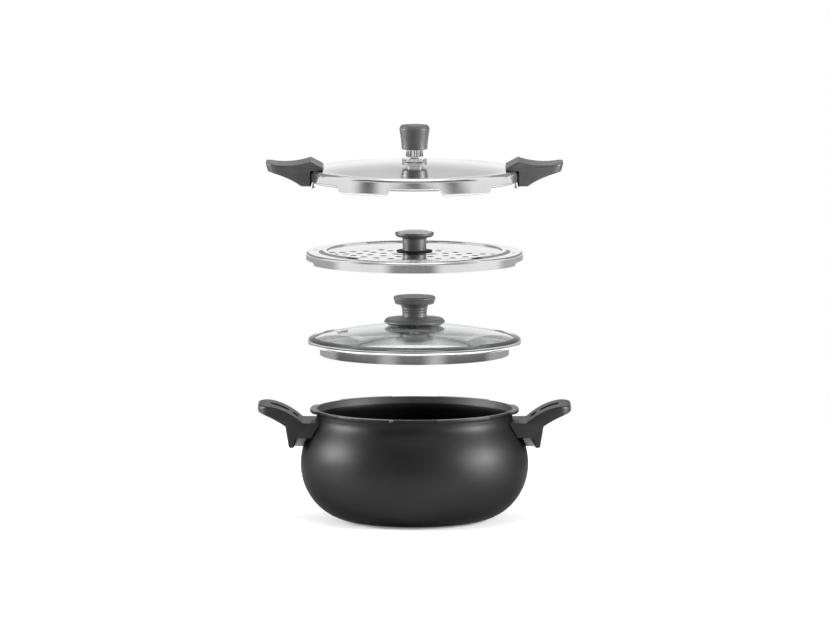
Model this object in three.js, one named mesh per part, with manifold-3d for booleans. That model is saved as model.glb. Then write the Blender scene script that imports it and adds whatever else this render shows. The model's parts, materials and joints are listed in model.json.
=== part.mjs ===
// Handi pressure cooker with its glass lid, strainer lid and pressure lid lifted off on one axis.
// Millimetres, +Z up, origin at the centre of the pot's base, +X along the right-hand handles.
import * as THREE from 'three';
import { mergeGeometries, mergeVertices } from 'three/addons/utils/BufferGeometryUtils.js';
import Module from 'manifold-3d';

const wasm = await Module();
wasm.setup();

// Fits and facets
const seatGap = 0.3; // air between two pieces that sit on each other
const dropPlay = 0.8; // play of a lid's skirt inside or around the pot's rim
const boltPlay = 0.3; // play of a screw or stud in its hole
const lugPlay = 0.7; // play of one bayonet part past the other
const potSides = 40;
const lidSides = 32;
const knobSides = 16;
const boltSides = 10;
const outerSteps = 6; // straight steps in a quarter of the pot's outer curve
const innerSteps = 4;
const domeSteps = 3;
const glassSteps = 5;
const arcSteps = 2;
const moldSteps = 4; // steps in a moulded handle's curves
const cutMargin = 10; // how far a cutting shape runs past what it cuts

// Pot
const potHeight = 112;
const potBaseRadius = 64;
const bellyRadius = 114;
const bellyHeight = 56;
const neckRadius = 98;
const neckHeight = 14;
const shoulderPull = 28; // how long the belly stays upright before it turns in
const neckPull = 18; // how long the neck's curve runs upright at its foot
const potWall = 2.6;
const potBaseWall = 4;
const flangeThickness = 3;
const lugReach = 6.5; // lug past the neck
const notchReach = 2.6; // flange past the neck between lugs
const lugCount = 6;
const lugAngle = 32; // degrees
const lugRamp = 2; // degrees from a lug's edge down to the notch

// Pot handles
const handleWidth = 63;
const handleDrop = 11.6; // from the pot's rim down to the arm's top
const armDepth = 15.2;
const kneeReach = 1; // knee past the belly
const gripReach = 41.5; // tip past the knee
const gripRise = 18.9;
const gripThickness = 8.4;
const gripBulge = 2.4; // how far the grip's top curves above a straight slope
const gripTipRound = 2.6;
const gripCorner = 3.4; // corner under the grip, below the arm's top
const legStandoff = 4; // leg's inner face past the belly
const legThickness = 11;
const legDepth = 9.7;
const footThickness = 5;
const footRound = 2.2;
const footShift = 2.5; // leg's inner face leans out by this much at its foot
const handleRound = 1.4;
const handleCorner = 13;
const recessWidth = 15;
const recessDepth = 1.6;
const longRecess = 19;
const shortRecess = 6;
const longRecessPlace = 19.7; // recess middles past the knee
const shortRecessPlace = 4.2;

// Pot brackets and screws
const bracketWidth = 24;
const bracketHeight = 10;
const screwShank = 1.8;
const screwHead = 3.4;
const screwHeadHeight = 2.4;
const screwHeadEdge = 1; // chamfer round a screw head's top
const screwTipGap = 4.9; // from the pot's wall to the tip of a handle's screw
const footCover = 3.4; // handle wall left under a screw head

// Glass lid
const glassLift = 64.3; // from the pot's rim up to the glass lid's flange
const glassOverhang = 2; // flange past the pot's lugs
const glassThickness = 4;
const glassRise = 14.4;
const rimSheet = 1.2;
const rimRoll = 1; // extra radius where the rim is rolled over
const lipReach = 4;
const glassSkirt = 9.7;
const eyeletInset = 32.3; // eyelet's middle from the glass's edge
const eyeletBore = 2.2;
const eyeletWall = 1.2;
const eyeletFlange = 2.6;
const eyeletLip = 0.8;

// Glass lid's knob
const glassBore = 4.3;
const collarRadius = 31;
const collarFoot = 25.5;
const collarTop = 28.3;
const collarEdge = 3; // height of the widest edge above the glass
const collarShoulder = 6.4;
const collarHeight = 8;
const prongWidth = 2.6;
const prongSpread = 5.4;
const prongDrop = 3;
const prongReach = 3.2;
const glassKnobFoot = 12.2;
const glassKnobNeck = 14.5;
const glassKnobRadius = 21.2;
const glassKnobHeight = 20.3;
const glassKnobHead = 7.4;
const glassKnobStem = 4.5; // straight foot of the knob, below its flare
const knobEdge = 1.2; // chamfer on a knob's top edge
const knobCrown = 0.6;
const knobScrewShank = 2.5;
const knobScrewHead = 5;
const knobScrewHeadHeight = 3;
const knobWasherRadius = 18;
const knobWasherThickness = 2;

// Strainer lid
const strainerLift = 92.5; // from the glass lid's flange up to the strainer's flange
const strainerSheet = 1;
const strainerOverhang = 3.9; // skirt's outer face past the pot's lugs
const strainerSkirt = 9.4;
const strainerNotch = 3; // skirt cut away beside the handles
const strainerNotchAngle = 44; // degrees
const rimHoleDiameter = 3.6; // one hole in the flange beside each handle
const rimHoleInset = 8.9; // from the strainer's edge to the hole's middle
const rimHoleTurn = 8; // degrees, the right one to the front
const beadRadius = 90;
const beadWidth = 4.4;
const beadHeight = 2.4;
const beadShoulder = 1.7; // height where the bead's side turns over
const holeDiameter = 4.6;
const holeSides = 8;
const holeLand = 0.9; // plain sheet between a hole and the bead or the knob
// Arcs of holes in the front half: each arc's radius, its middle behind the axis, its step in degrees
const holeArcs = [
  { radius: 41, middle: 38, step: 18, count: 6 },
  { radius: 55, middle: 28, step: 13.7, count: 9 },
  { radius: 64.5, middle: 15.5, step: 14.4, count: 10 },
  { radius: 73, middle: 2, step: 12.5, count: 13 },
  { radius: 82.5, middle: -2.5, step: 12.2, count: 14 },
];
const strainerKnobFoot = 18;
const knobFootEdge = 0.9;
const strainerKnobWaist = 11.6;
const strainerKnobRadius = 19.6;
const strainerKnobHeight = 19;
const strainerKnobHead = 4.4;
const knobCapInset = 1.2;
const knobCapThickness = 2;
const knobCapRound = 3.6;
const strainerWasherRadius = 9;
const strainerWasherThickness = 1.5;

// Pressure lid
const pressureLift = 66.8; // from the strainer's flange up to the pressure lid's rim
const lidHeight = 17.5;
const lidSheet = 1.4;
const lidCorner = 2.4;
const domeRadius = 96;
const domeRise = 6.9;
const lidLugReach = 4;
const lidLugThickness = 1.6;
const lidLugAngle = 25; // degrees
const cutoutAngle = 30; // degrees
const cutoutHeight = 6;
const cutoutSlope = 4;
const gasketWall = 3;
const gasketLip = 2.6;
const gasketReach = 8.4;

// Pressure lid's handles
const lidHandleWidth = 56;
const lidHandleTipWidth = 46;
const lidHandleReach = 42.3; // tip past the lid's band
const lidHandleFoot = 2; // bottom face above the rim
const lidHandleFootReach = 6.3;
const lidHandleTop = 26.8;
const lidHandleTipTop = 25.2;
const lidHandleTipDepth = 8.8;
const lidHandleTipSlant = 2.6;
const lidHandleBend = 12.7; // bend of the underside past the foot, and its height
const lidHandleBendHeight = 11.2;
const lidHandlePeak = 3.2; // peak inside the band
const lidHandleToe = 15.3; // toe inside the band, over the lid's top
const lidHandleToeThickness = 2.5;
const lidHandleDip = 6.4; // how far the top edge hollows between peak and tip
const lidHandleCorner = 9;
const strapSheet = 1.5;
const strapWidth = 18;
const strapReach = 15;
const strapFoot = 4;
const strapTop = 13;
const lidScrewPlace = 8.4; // screw axis past the lid's band
const lidScrewRise = 5; // thread above the strap

// Vent pipe and weight
const ventBore = 1.6;
const ventThread = 5;
const ventThreadDepth = 10;
const ventBossRadius = 12.5;
const ventBossHeight = 3;
const ventBossEdge = 0.8;
const ventStub = 4.2;
const ventStubHeight = 9;
const ventCone = 1.4;
const nutAcross = 16;
const nutHeight = 5;
const weightGap = 2; // weight's legs above the vent pipe's boss
const weightLegRadius = 8.8;
const weightLegHeight = 7;
const weightFlutes = 8;
const weightFlute = 1.5;
const weightStud = 6;
const weightStudHeight = 13;
const capFoot = 12.9;
const capRadius = 15.2;
const capHeight = 24;
const capBevel = 3.4;
const capFootEdge = 0.8;
const capHollow = 0.4; // how far the cap's side draws in at mid height

// Safety valve
const valvePlace = 48;
const valveThread = 5;
const valveBore = 2.2;
const valveAcross = 15;
const valveHexHeight = 3.2;
const valveCrown = 5.4;
const valveCrownHeight = 3;
const valveCrownEdge = 1.6;
const plugStand = 0.6; // plug above the valve's crown
const valveThreadDepth = 8;
const valveNutHeight = 4;

// Sizes that follow from the ones above
const turn = (degrees) => THREE.MathUtils.degToRad(degrees);
const cornerMiddle = 1 - Math.SQRT1_2; // where a quarter round's middle lies, as a share of its radius
const lugPitch = 360 / lugCount;
const neckFoot = potHeight - neckHeight;
const mouthRadius = neckRadius - potWall;
const lugRadius = neckRadius + lugReach;
const notchRadius = neckRadius + notchReach;
const armTop = potHeight - handleDrop;
const armBottom = armTop - armDepth;
const kneeRadius = bellyRadius + kneeReach;
const tipRadius = kneeRadius + gripReach;
const legInner = bellyRadius + legStandoff;
const legOuter = legInner + legThickness;
const legBottom = armBottom - legDepth;
const footInner = legInner + footShift;
const bracketTop = armBottom - seatGap;
const potScrewHeight = bracketTop - bracketHeight / 2;

const glassRimRadius = lugRadius + glassOverhang;
const glassSkirtRadius = mouthRadius - dropPlay;
const glassRadius = glassRimRadius - rimSheet - rimRoll;
const eyeletPlace = glassRadius - eyeletInset;
const glassEdge = rimSheet + seatGap; // underside of the glass at its edge
const glassSphere = (glassRadius ** 2 + glassRise ** 2) / (2 * glassRise);
const glassTop = glassEdge + glassThickness + glassRise;

const lidInner = lugRadius + lugPlay;
const lidOuter = lidInner + lidSheet;
const domeSphere = (domeRadius ** 2 + domeRise ** 2) / (2 * domeRise);
const domeTop = lidHeight + domeRise;
const gasketBottom = lidLugThickness + flangeThickness + 2 * seatGap;
const gasketTop = lidHeight - lidSheet - seatGap;
const gasketOuter = lidInner * Math.cos(Math.PI / lidSides) - seatGap; // clears the lid's flats in a turn
const ventBase = domeTop + seatGap;
const ventBossTop = ventBase + ventBossHeight;
const ventTip = ventBossTop + ventStubHeight;
const weightFoot = ventBossTop + weightGap;

// Heights of the three lids' own origins
const glassLidHeight = potHeight + glassLift;
const strainerHeight = glassLidHeight + strainerLift;
const pressureLidHeight = strainerHeight + pressureLift;

// Finishes
const finishes = {
  hardAnodised: { color: 0x2b2b2c, roughness: 0.45, metalness: 0.6 },
  bakelite: { color: 0x353637, roughness: 0.55, metalness: 0 },
  greyPlastic: { color: 0x57585a, roughness: 0.5, metalness: 0 },
  paleCap: { color: 0xc9cbcd, roughness: 0.3, metalness: 0 },
  polishedSteel: { color: 0xd8dadb, roughness: 0.18, metalness: 1 },
  chrome: { color: 0xe6e8ea, roughness: 0.08, metalness: 1 },
  clearGlass: { color: 0xdfe8e6, roughness: 0.05, metalness: 0, transparent: true, opacity: 0.4 },
  blackRubber: { color: 0x141414, roughness: 0.85, metalness: 0 },
  clearSilicone: { color: 0xe2e2df, roughness: 0.6, metalness: 0 },
  brass: { color: 0xb08d4a, roughness: 0.35, metalness: 1 },
};

const group = new THREE.Group();

function addPiece(name, geometry, finish, parent = group) {
  const piece = new THREE.Mesh(geometry, new THREE.MeshStandardMaterial(finishes[finish]));
  piece.name = name;
  parent.add(piece);
  return piece;
}

// A profile of [radius, height] points, running anticlockwise from axis to axis
function turned(profile, sides = lidSides) {
  const points = profile.map(([radius, height]) => new THREE.Vector2(radius, height));
  return new THREE.LatheGeometry(points, sides).rotateX(Math.PI / 2);
}

// The same for a profile that closes on itself
function turnedRing(profile, sides = lidSides) {
  return turned([...profile, profile[0]], sides);
}

function pillar(radius, bottom, top, sides = boltSides) {
  return turned([[0, bottom], [radius, bottom], [radius, top], [0, top]], sides);
}

function prism(shape, depth, steps = moldSteps) {
  return new THREE.ExtrudeGeometry(shape, { depth, bevelEnabled: false, curveSegments: steps });
}

// An outline of radius and height, given a width across the object
function widened(shape, width, round = 0) {
  const geometry = new THREE.ExtrudeGeometry(shape, {
    depth: width - 2 * round,
    curveSegments: moldSteps,
    bevelEnabled: round > 0,
    bevelThickness: round,
    bevelSize: round,
    bevelOffset: -round,
    bevelSegments: 1,
  });
  return geometry.rotateX(Math.PI / 2).translate(0, width / 2 - round, 0);
}

function outline(points) {
  return new THREE.Shape(points.map(([x, y]) => new THREE.Vector2(x, y)));
}

function circle(radius, sides) {
  return [...Array(sides).keys()].map((k) => new THREE.Vector2(
    radius * Math.cos((2 * Math.PI * k) / sides),
    radius * Math.sin((2 * Math.PI * k) / sides),
  ));
}

function hexagon(across) {
  const corner = across / Math.sqrt(3);
  return outline([...Array(6).keys()].map((k) => [
    corner * Math.cos(turn(60 * k)),
    corner * Math.sin(turn(60 * k)),
  ]));
}

function solidOf(geometry) {
  const bare = geometry.clone();
  bare.deleteAttribute('normal');
  bare.deleteAttribute('uv');
  const welded = mergeVertices(bare);
  const corners = welded.index.array;
  const triVerts = [];
  for (let i = 0; i < corners.length; i += 3) {
    const [a, b, c] = corners.slice(i, i + 3);
    if (a !== b && b !== c && c !== a) triVerts.push(a, b, c);
  }
  const vertProperties = new Float32Array(welded.attributes.position.array);
  const mesh = new wasm.Mesh({ numProp: 3, vertProperties, triVerts: new Uint32Array(triVerts) });
  return new wasm.Manifold(mesh);
}

function geometryOf(solid) {
  const mesh = solid.getMesh();
  const geometry = new THREE.BufferGeometry();
  geometry.setAttribute('position', new THREE.BufferAttribute(mesh.vertProperties, 3));
  geometry.setIndex(new THREE.BufferAttribute(mesh.triVerts, 1));
  geometry.computeVertexNormals();
  return geometry;
}

function cut(geometry, ...tools) {
  return geometryOf(tools.reduce((solid, tool) => solid.subtract(solidOf(tool)), solidOf(geometry)));
}

function join(geometry, ...others) {
  return geometryOf(others.reduce((solid, other) => solid.add(solidOf(other)), solidOf(geometry)));
}

function common(geometry, other) {
  return geometryOf(solidOf(geometry).intersect(solidOf(other)));
}

// A screw along +Z whose head starts at height 0
function screw(shank, reach, head, headHeight) {
  return turned([
    [0, -reach],
    [shank, -reach],
    [shank, 0],
    [head, 0],
    [head, headHeight - screwHeadEdge],
    [head - screwHeadEdge, headHeight],
    [0, headHeight],
  ], boltSides);
}

// Height of a dome's upper face at a radius, for a sphere that peaks at the given height
const crown = (peak, sphere, radius) => peak - (sphere - Math.sqrt(sphere ** 2 - radius ** 2));

function crownCurve(peak, sphere, from, to, steps) {
  const points = [];
  for (let i = 0; i <= steps; i += 1) {
    const radius = from + ((to - from) * i) / steps;
    points.push([radius, crown(peak, sphere, radius)]);
  }
  return points;
}

// Pot body

function potCurve(inset, base, steps) {
  const points = [];
  for (let i = 0; i <= steps; i += 1) {
    const angle = (Math.PI / 2) * (i / steps);
    points.push([
      potBaseRadius + (bellyRadius - inset - potBaseRadius) * Math.sin(angle),
      bellyHeight - (bellyHeight - base) * Math.cos(angle),
    ]);
  }
  const shoulder = new THREE.CubicBezierCurve(
    new THREE.Vector2(bellyRadius - inset, bellyHeight),
    new THREE.Vector2(bellyRadius - inset, bellyHeight + shoulderPull),
    new THREE.Vector2(neckRadius - inset, neckFoot - neckPull),
    new THREE.Vector2(neckRadius - inset, neckFoot),
  );
  const bend = shoulder.getPoints(steps).slice(1);
  return [...points, ...bend.map((point) => [point.x, point.y])];
}

function flangeShape() {
  const shape = new THREE.Shape();
  for (let k = 0; k < lugCount; k += 1) {
    const middle = k * lugPitch;
    const edge = lugAngle / 2;
    shape.absarc(0, 0, lugRadius, turn(middle - edge), turn(middle + edge), false);
    const next = middle + lugPitch - edge - lugRamp;
    shape.absarc(0, 0, notchRadius, turn(middle + edge + lugRamp), turn(next), false);
  }
  shape.holes.push(new THREE.Path(circle(neckRadius - potWall / 2, potSides)));
  return shape;
}

function makePotBody() {
  const shell = turned([
    [0, 0],
    ...potCurve(0, 0, outerSteps),
    [neckRadius, potHeight],
    [mouthRadius, potHeight],
    ...potCurve(potWall, potBaseWall, innerSteps).reverse(),
    [0, potBaseWall],
  ], potSides);
  const flange = prism(flangeShape(), flangeThickness, arcSteps);
  return join(shell, flange.translate(0, 0, potHeight - flangeThickness));
}

// The pot's outer form with a gap added, which trims what is fixed to it
function potTrimmer() {
  return turned([
    [0, 0],
    ...potCurve(-seatGap, -seatGap, outerSteps),
    [neckRadius + seatGap, potHeight],
    [0, potHeight],
  ], potSides);
}

// Pot handles

function potHandleOutline() {
  const inner = neckRadius - cutMargin;
  const tipTop = armTop + gripRise;
  const tipBottom = tipTop - gripThickness;
  const footOuter = footInner + footThickness;
  const cornerHeight = armTop - gripCorner;
  const shape = new THREE.Shape();
  shape.moveTo(inner, armBottom);
  shape.lineTo(legInner, armBottom);
  shape.lineTo(footInner, legBottom + footRound);
  shape.quadraticCurveTo(footInner, legBottom, footInner + footRound, legBottom);
  shape.lineTo(footOuter - footRound, legBottom);
  shape.quadraticCurveTo(footOuter, legBottom, footOuter, legBottom + footRound);
  shape.lineTo(legOuter, cornerHeight);
  const underMiddle = (legOuter + tipRadius) / 2;
  const underHeight = (cornerHeight + tipBottom) / 2 + gripBulge;
  shape.quadraticCurveTo(underMiddle, underHeight, tipRadius - gripTipRound, tipBottom);
  shape.quadraticCurveTo(tipRadius, tipBottom, tipRadius, tipBottom + gripTipRound);
  shape.lineTo(tipRadius, tipTop - gripTipRound);
  shape.quadraticCurveTo(tipRadius, tipTop, tipRadius - gripTipRound, tipTop);
  const topMiddle = (kneeRadius + tipRadius) / 2;
  shape.quadraticCurveTo(topMiddle, (armTop + tipTop) / 2 + 2 * gripBulge, kneeRadius, armTop);
  shape.lineTo(inner, armTop);
  return shape;
}

function roundedPlan(inner, tip, innerWidth, tipWidth, corner) {
  const shape = new THREE.Shape();
  shape.moveTo(inner, -innerWidth / 2);
  shape.lineTo(tip - corner, -tipWidth / 2);
  shape.quadraticCurveTo(tip, -tipWidth / 2, tip, -tipWidth / 2 + corner);
  shape.lineTo(tip, tipWidth / 2 - corner);
  shape.quadraticCurveTo(tip, tipWidth / 2, tip - corner, tipWidth / 2);
  shape.lineTo(inner, innerWidth / 2);
  return shape;
}

// A slot sunk into the grip's sloping top
function gripRecess(place, length) {
  const slope = Math.atan2(gripRise, gripReach);
  const box = new THREE.BoxGeometry(length, recessWidth, 2 * recessDepth);
  const along = place / gripReach;
  const bulge = 4 * gripBulge * along * (1 - along);
  return box.rotateY(-slope).translate(kneeRadius + place, 0, armTop + gripRise * along + bulge);
}

function alongX(geometry) {
  return geometry.rotateY(Math.PI / 2);
}

// The screw's head sits against this face inside the handle's leg
const potScrewSeat = footInner + footCover;

function makePotHandle() {
  const inner = neckRadius - cutMargin;
  const grip = widened(potHandleOutline(), handleWidth, handleRound);
  const plan = roundedPlan(inner, tipRadius, handleWidth, handleWidth, handleCorner);
  const rounded = common(grip, prism(plan, potHeight + gripRise));
  const shankHole = pillar(screwShank + boltPlay, bellyRadius, potScrewSeat + seatGap);
  const headHole = pillar(screwHead + boltPlay, potScrewSeat, tipRadius);
  return cut(
    rounded,
    potTrimmer(),
    gripRecess(shortRecessPlace, shortRecess),
    gripRecess(longRecessPlace, longRecess),
    alongX(shankHole).translate(0, 0, potScrewHeight),
    alongX(headHole).translate(0, 0, potScrewHeight),
  );
}

// The pot's outer radius at a height on its shoulder
function potRadiusAt(height) {
  const curve = potCurve(0, 0, outerSteps);
  const above = curve.findIndex((point) => point[1] >= height);
  const [[lowRadius, low], [highRadius, high]] = curve.slice(above - 1, above + 1);
  return lowRadius + ((highRadius - lowRadius) * (height - low)) / (high - low);
}

const potScrewTip = potRadiusAt(potScrewHeight) + screwTipGap;

function makePotBracket() {
  const lean = footShift / (legDepth - footRound);
  const outerTop = legInner - seatGap;
  const outerFoot = outerTop + lean * bracketHeight;
  const block = widened(outline([
    [neckRadius, bracketTop - bracketHeight],
    [outerFoot, bracketTop - bracketHeight],
    [outerTop, bracketTop],
    [neckRadius, bracketTop],
  ]), bracketWidth);
  const hole = pillar(screwShank + boltPlay, potScrewTip - boltPlay, tipRadius);
  return cut(block, potTrimmer(), alongX(hole).translate(0, 0, potScrewHeight));
}

function makePotScrew() {
  const reach = potScrewSeat + seatGap - potScrewTip;
  return alongX(screw(screwShank, reach, screwHead, screwHeadHeight));
}

// Glass lid

function makeGlassDome() {
  const underside = crownCurve(glassTop - glassThickness, glassSphere, glassBore, glassRadius, glassSteps);
  const upper = crownCurve(glassTop, glassSphere, glassRadius, glassBore, glassSteps);
  const dome = turnedRing([...underside, ...upper]);
  const hole = pillar(eyeletBore + eyeletWall + seatGap, -cutMargin, cutMargin);
  return cut(dome, placeEyelet(hole));
}

// Stands a piece on the glass at the steam vent, square to the surface
function placeEyelet(geometry) {
  const slope = Math.asin(eyeletPlace / glassSphere);
  const height = crown(glassTop, glassSphere, eyeletPlace);
  return geometry.rotateY(-slope).translate(-eyeletPlace, 0, height);
}

function makeEyelet() {
  const tube = eyeletBore + eyeletWall;
  const under = -glassThickness - seatGap;
  return placeEyelet(turnedRing([
    [eyeletBore, under - eyeletLip],
    [tube + eyeletFlange, under - eyeletLip],
    [tube + eyeletFlange, under],
    [tube, under],
    [tube, seatGap],
    [tube + eyeletFlange, seatGap],
    [tube + eyeletFlange - eyeletLip, seatGap + eyeletLip],
    [eyeletBore, seatGap + eyeletLip],
  ], boltSides));
}

function makeGlassRim() {
  const channel = glassRadius + seatGap;
  const lipRadius = glassRadius - lipReach;
  const lipUnder = crown(glassTop, glassSphere, lipRadius) + seatGap;
  const edgeUnder = crown(glassTop, glassSphere, glassRadius) + seatGap;
  return turnedRing([
    [glassSkirtRadius, -glassSkirt],
    [glassSkirtRadius, 0],
    [glassRimRadius - rimRoll, 0],
    [glassRimRadius, rimRoll],
    [glassRimRadius, edgeUnder],
    [channel, edgeUnder + rimSheet],
    [lipRadius, lipUnder + rimSheet],
    [lipRadius, lipUnder],
    [channel, edgeUnder],
    [channel, rimSheet],
    [glassSkirtRadius - rimSheet, rimSheet],
    [glassSkirtRadius - rimSheet, -glassSkirt],
  ]);
}

function makeGlassCollar() {
  const bore = knobScrewShank + boltPlay;
  const foot = (radius) => crown(glassTop, glassSphere, radius) + seatGap;
  const ring = turnedRing([
    [bore, foot(bore)],
    [collarFoot / 2, foot(collarFoot / 2)],
    [collarFoot, foot(collarFoot)],
    [collarRadius, glassTop + collarEdge],
    [collarTop, glassTop + collarShoulder],
    [glassKnobNeck, glassTop + collarHeight],
    [bore, glassTop + collarHeight],
  ], knobSides);
  const prongHeight = glassTop + collarEdge - prongDrop / 2;
  const prongs = [-1, 1].map((side) => new THREE.BoxGeometry(prongWidth, prongReach, prongDrop)
    .translate((side * prongSpread) / 2, -collarFoot - prongReach / 2, prongHeight));
  return join(ring, ...prongs);
}

const glassKnobBase = glassTop + collarHeight + seatGap;
const knobHole = knobScrewShank + boltPlay;
const glassScrewTop = glassKnobBase + glassKnobHeight - glassKnobHead;

function makeGlassKnob() {
  const top = glassKnobBase + glassKnobHeight;
  const head = top - glassKnobHead;
  return turned([
    [0, glassScrewTop],
    [knobHole, glassScrewTop],
    [knobHole, glassKnobBase],
    [glassKnobFoot, glassKnobBase],
    [glassKnobFoot, glassKnobBase + glassKnobStem],
    [glassKnobNeck, head],
    [glassKnobRadius - knobEdge, head],
    [glassKnobRadius, top - knobEdge],
    [glassKnobRadius - knobEdge, top],
    [0, top + knobCrown],
  ], knobSides);
}

function makeKnobWasher(radius, thickness, top) {
  return turnedRing([
    [knobHole, top - thickness],
    [radius, top - thickness],
    [radius, top],
    [knobHole, top],
  ], knobSides);
}

// A screw that comes up from below: its head starts at the given height
function makeKnobScrew(seat, tip) {
  const reach = tip - seat;
  const upright = screw(knobScrewShank, reach, knobScrewHead, knobScrewHeadHeight);
  return upright.rotateX(Math.PI).translate(0, 0, seat);
}

function addGlassLid() {
  const lid = new THREE.Group();
  lid.position.z = glassLidHeight;
  group.add(lid);
  const underGlass = crown(glassTop, glassSphere, knobWasherRadius) - glassThickness - seatGap;
  const screwSeat = underGlass - knobWasherThickness - seatGap;
  addPiece('glass_dome', makeGlassDome(), 'clearGlass', lid);
  addPiece('glass_rim', makeGlassRim(), 'polishedSteel', lid);
  addPiece('glass_vent_eyelet', makeEyelet(), 'polishedSteel', lid);
  addPiece('glass_knob_collar', makeGlassCollar(), 'greyPlastic', lid);
  addPiece('glass_knob', makeGlassKnob(), 'greyPlastic', lid);
  const washer = makeKnobWasher(knobWasherRadius, knobWasherThickness, underGlass);
  addPiece('glass_knob_washer', washer, 'clearSilicone', lid);
  addPiece('glass_knob_screw', makeKnobScrew(screwSeat, glassScrewTop - seatGap), 'polishedSteel', lid);
}

// Strainer lid

const strainerEdge = lugRadius + strainerOverhang;
const beadInner = beadRadius - beadWidth / 2;
const beadOuter = beadRadius + beadWidth / 2;

// Flat ring with a hanging skirt, and a raised bead that grips the plate's upturned edge
function makeStrainerRim() {
  const sheet = strainerSheet;
  const ring = turnedRing([
    [strainerEdge - sheet, -strainerSkirt],
    [strainerEdge, -strainerSkirt],
    [strainerEdge, sheet / 2],
    [strainerEdge - sheet / 2, sheet],
    [beadOuter, sheet],
    [beadOuter - sheet / 2, sheet + beadShoulder],
    [beadRadius, sheet + beadHeight],
    [beadInner + sheet / 2, sheet + beadShoulder],
    [beadInner, sheet + seatGap],
    [beadInner + sheet / 2, sheet + seatGap],
    [beadRadius, beadHeight],
    [beadOuter - sheet, sheet / 2],
    [beadOuter - sheet, 0],
    [strainerEdge - sheet, 0],
  ]);
  const slot = 2 * strainerEdge * Math.sin(turn(strainerNotchAngle / 2));
  const notches = new THREE.BoxGeometry(2 * strainerEdge + cutMargin, slot, 2 * strainerNotch)
    .translate(0, 0, -strainerSkirt);
  const rimHoles = [-1, 1].map((side) => pillar(rimHoleDiameter / 2, -cutMargin, cutMargin)
    .translate(side * (strainerEdge - rimHoleInset), 0, 0)
    .rotateZ(-turn(rimHoleTurn)));
  return cut(ring, notches, ...rimHoles);
}

// The arcs' holes, but for those that would meet the bead or the knob's foot
function strainerHoles() {
  const holes = [];
  const land = holeDiameter / 2 + holeLand;
  holeArcs.forEach(({ radius, middle, step, count }) => {
    for (let k = 0; k < count; k += 1) {
      const angle = turn((k - count / 2) * step);
      const place = new THREE.Vector2(radius * Math.sin(angle), middle - radius * Math.cos(angle));
      const reach = place.length();
      if (reach < strainerKnobFoot + land || reach > beadInner - land) continue;
      const hole = pillar(holeDiameter / 2, -cutMargin, cutMargin, holeSides);
      holes.push(hole.translate(place.x, place.y, 0));
    }
  });
  return mergeGeometries(holes);
}

function makeStrainerPlate() {
  const lipOuter = beadOuter - strainerSheet - seatGap;
  const lipInner = lipOuter - strainerSheet;
  const plate = turnedRing([
    [knobHole, 0],
    [lipOuter, 0],
    [lipOuter, strainerSheet / 2],
    [(lipInner + lipOuter) / 2, strainerSheet + seatGap],
    [lipInner, strainerSheet],
    [knobHole, strainerSheet],
  ]);
  return cut(plate, strainerHoles());
}

const strainerKnobBase = strainerSheet + seatGap;
const strainerScrewTop = strainerKnobBase + strainerKnobHeight - strainerKnobHead - knobCapThickness;

function makeStrainerKnob() {
  const top = strainerKnobBase + strainerKnobHeight;
  const head = top - strainerKnobHead;
  const seat = strainerKnobRadius - knobCapInset;
  return turned([
    [0, strainerScrewTop],
    [knobHole, strainerScrewTop],
    [knobHole, strainerKnobBase],
    [strainerKnobFoot, strainerKnobBase],
    [strainerKnobFoot, strainerKnobBase + knobFootEdge],
    [strainerKnobWaist, strainerKnobBase + 2 * knobFootEdge],
    [strainerKnobWaist, head - knobEdge],
    [strainerKnobRadius - knobEdge, head],
    [strainerKnobRadius, top],
    [seat, top],
    [seat, top - knobCapThickness / 2],
    [0, top - knobCapThickness / 2],
  ], knobSides);
}

function makeStrainerKnobCap() {
  const base = strainerKnobBase + strainerKnobHeight - knobCapThickness / 2 + seatGap;
  const radius = strainerKnobRadius - knobCapInset - seatGap;
  return turned([
    [0, base],
    [radius, base],
    [radius, base + knobCapThickness / 2],
    [radius - knobCapRound, base + knobCapThickness],
    [0, base + knobCapThickness + knobCrown],
  ], knobSides);
}

function addStrainerLid() {
  const lid = new THREE.Group();
  lid.position.z = strainerHeight;
  group.add(lid);
  addPiece('strainer_plate', makeStrainerPlate(), 'polishedSteel', lid);
  addPiece('strainer_rim', makeStrainerRim(), 'polishedSteel', lid);
  addPiece('strainer_knob', makeStrainerKnob(), 'greyPlastic', lid);
  addPiece('strainer_knob_cap', makeStrainerKnobCap(), 'paleCap', lid);
  const washer = makeKnobWasher(strainerWasherRadius, strainerWasherThickness, -seatGap);
  addPiece('strainer_knob_washer', washer, 'polishedSteel', lid);
  const screwSeat = -strainerWasherThickness - 2 * seatGap;
  const knobScrew = makeKnobScrew(screwSeat, strainerScrewTop - seatGap);
  addPiece('strainer_knob_screw', knobScrew, 'polishedSteel', lid);
}

// Pressure lid

function lidCurve(grow) {
  const outer = lidOuter + grow;
  const top = lidHeight + grow;
  return [
    [outer, top - lidCorner],
    [outer - lidCorner * cornerMiddle, top - lidCorner * cornerMiddle],
    [outer - lidCorner, top],
    ...crownCurve(domeTop + grow, domeSphere, domeRadius, ventThread + boltPlay, domeSteps),
  ];
}

function lidLugs() {
  const lugs = [];
  for (let k = 0; k < lugCount; k += 1) {
    const from = turn(k * lugPitch - lidLugAngle / 2);
    const to = turn(k * lugPitch + lidLugAngle / 2);
    const shape = new THREE.Shape();
    shape.absarc(0, 0, lidInner + lidSheet / 2, from, to, false);
    shape.absarc(0, 0, lidInner - lidLugReach, to, from, true);
    lugs.push(prism(shape, lidLugThickness, arcSteps));
  }
  return mergeGeometries(lugs);
}

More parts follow.
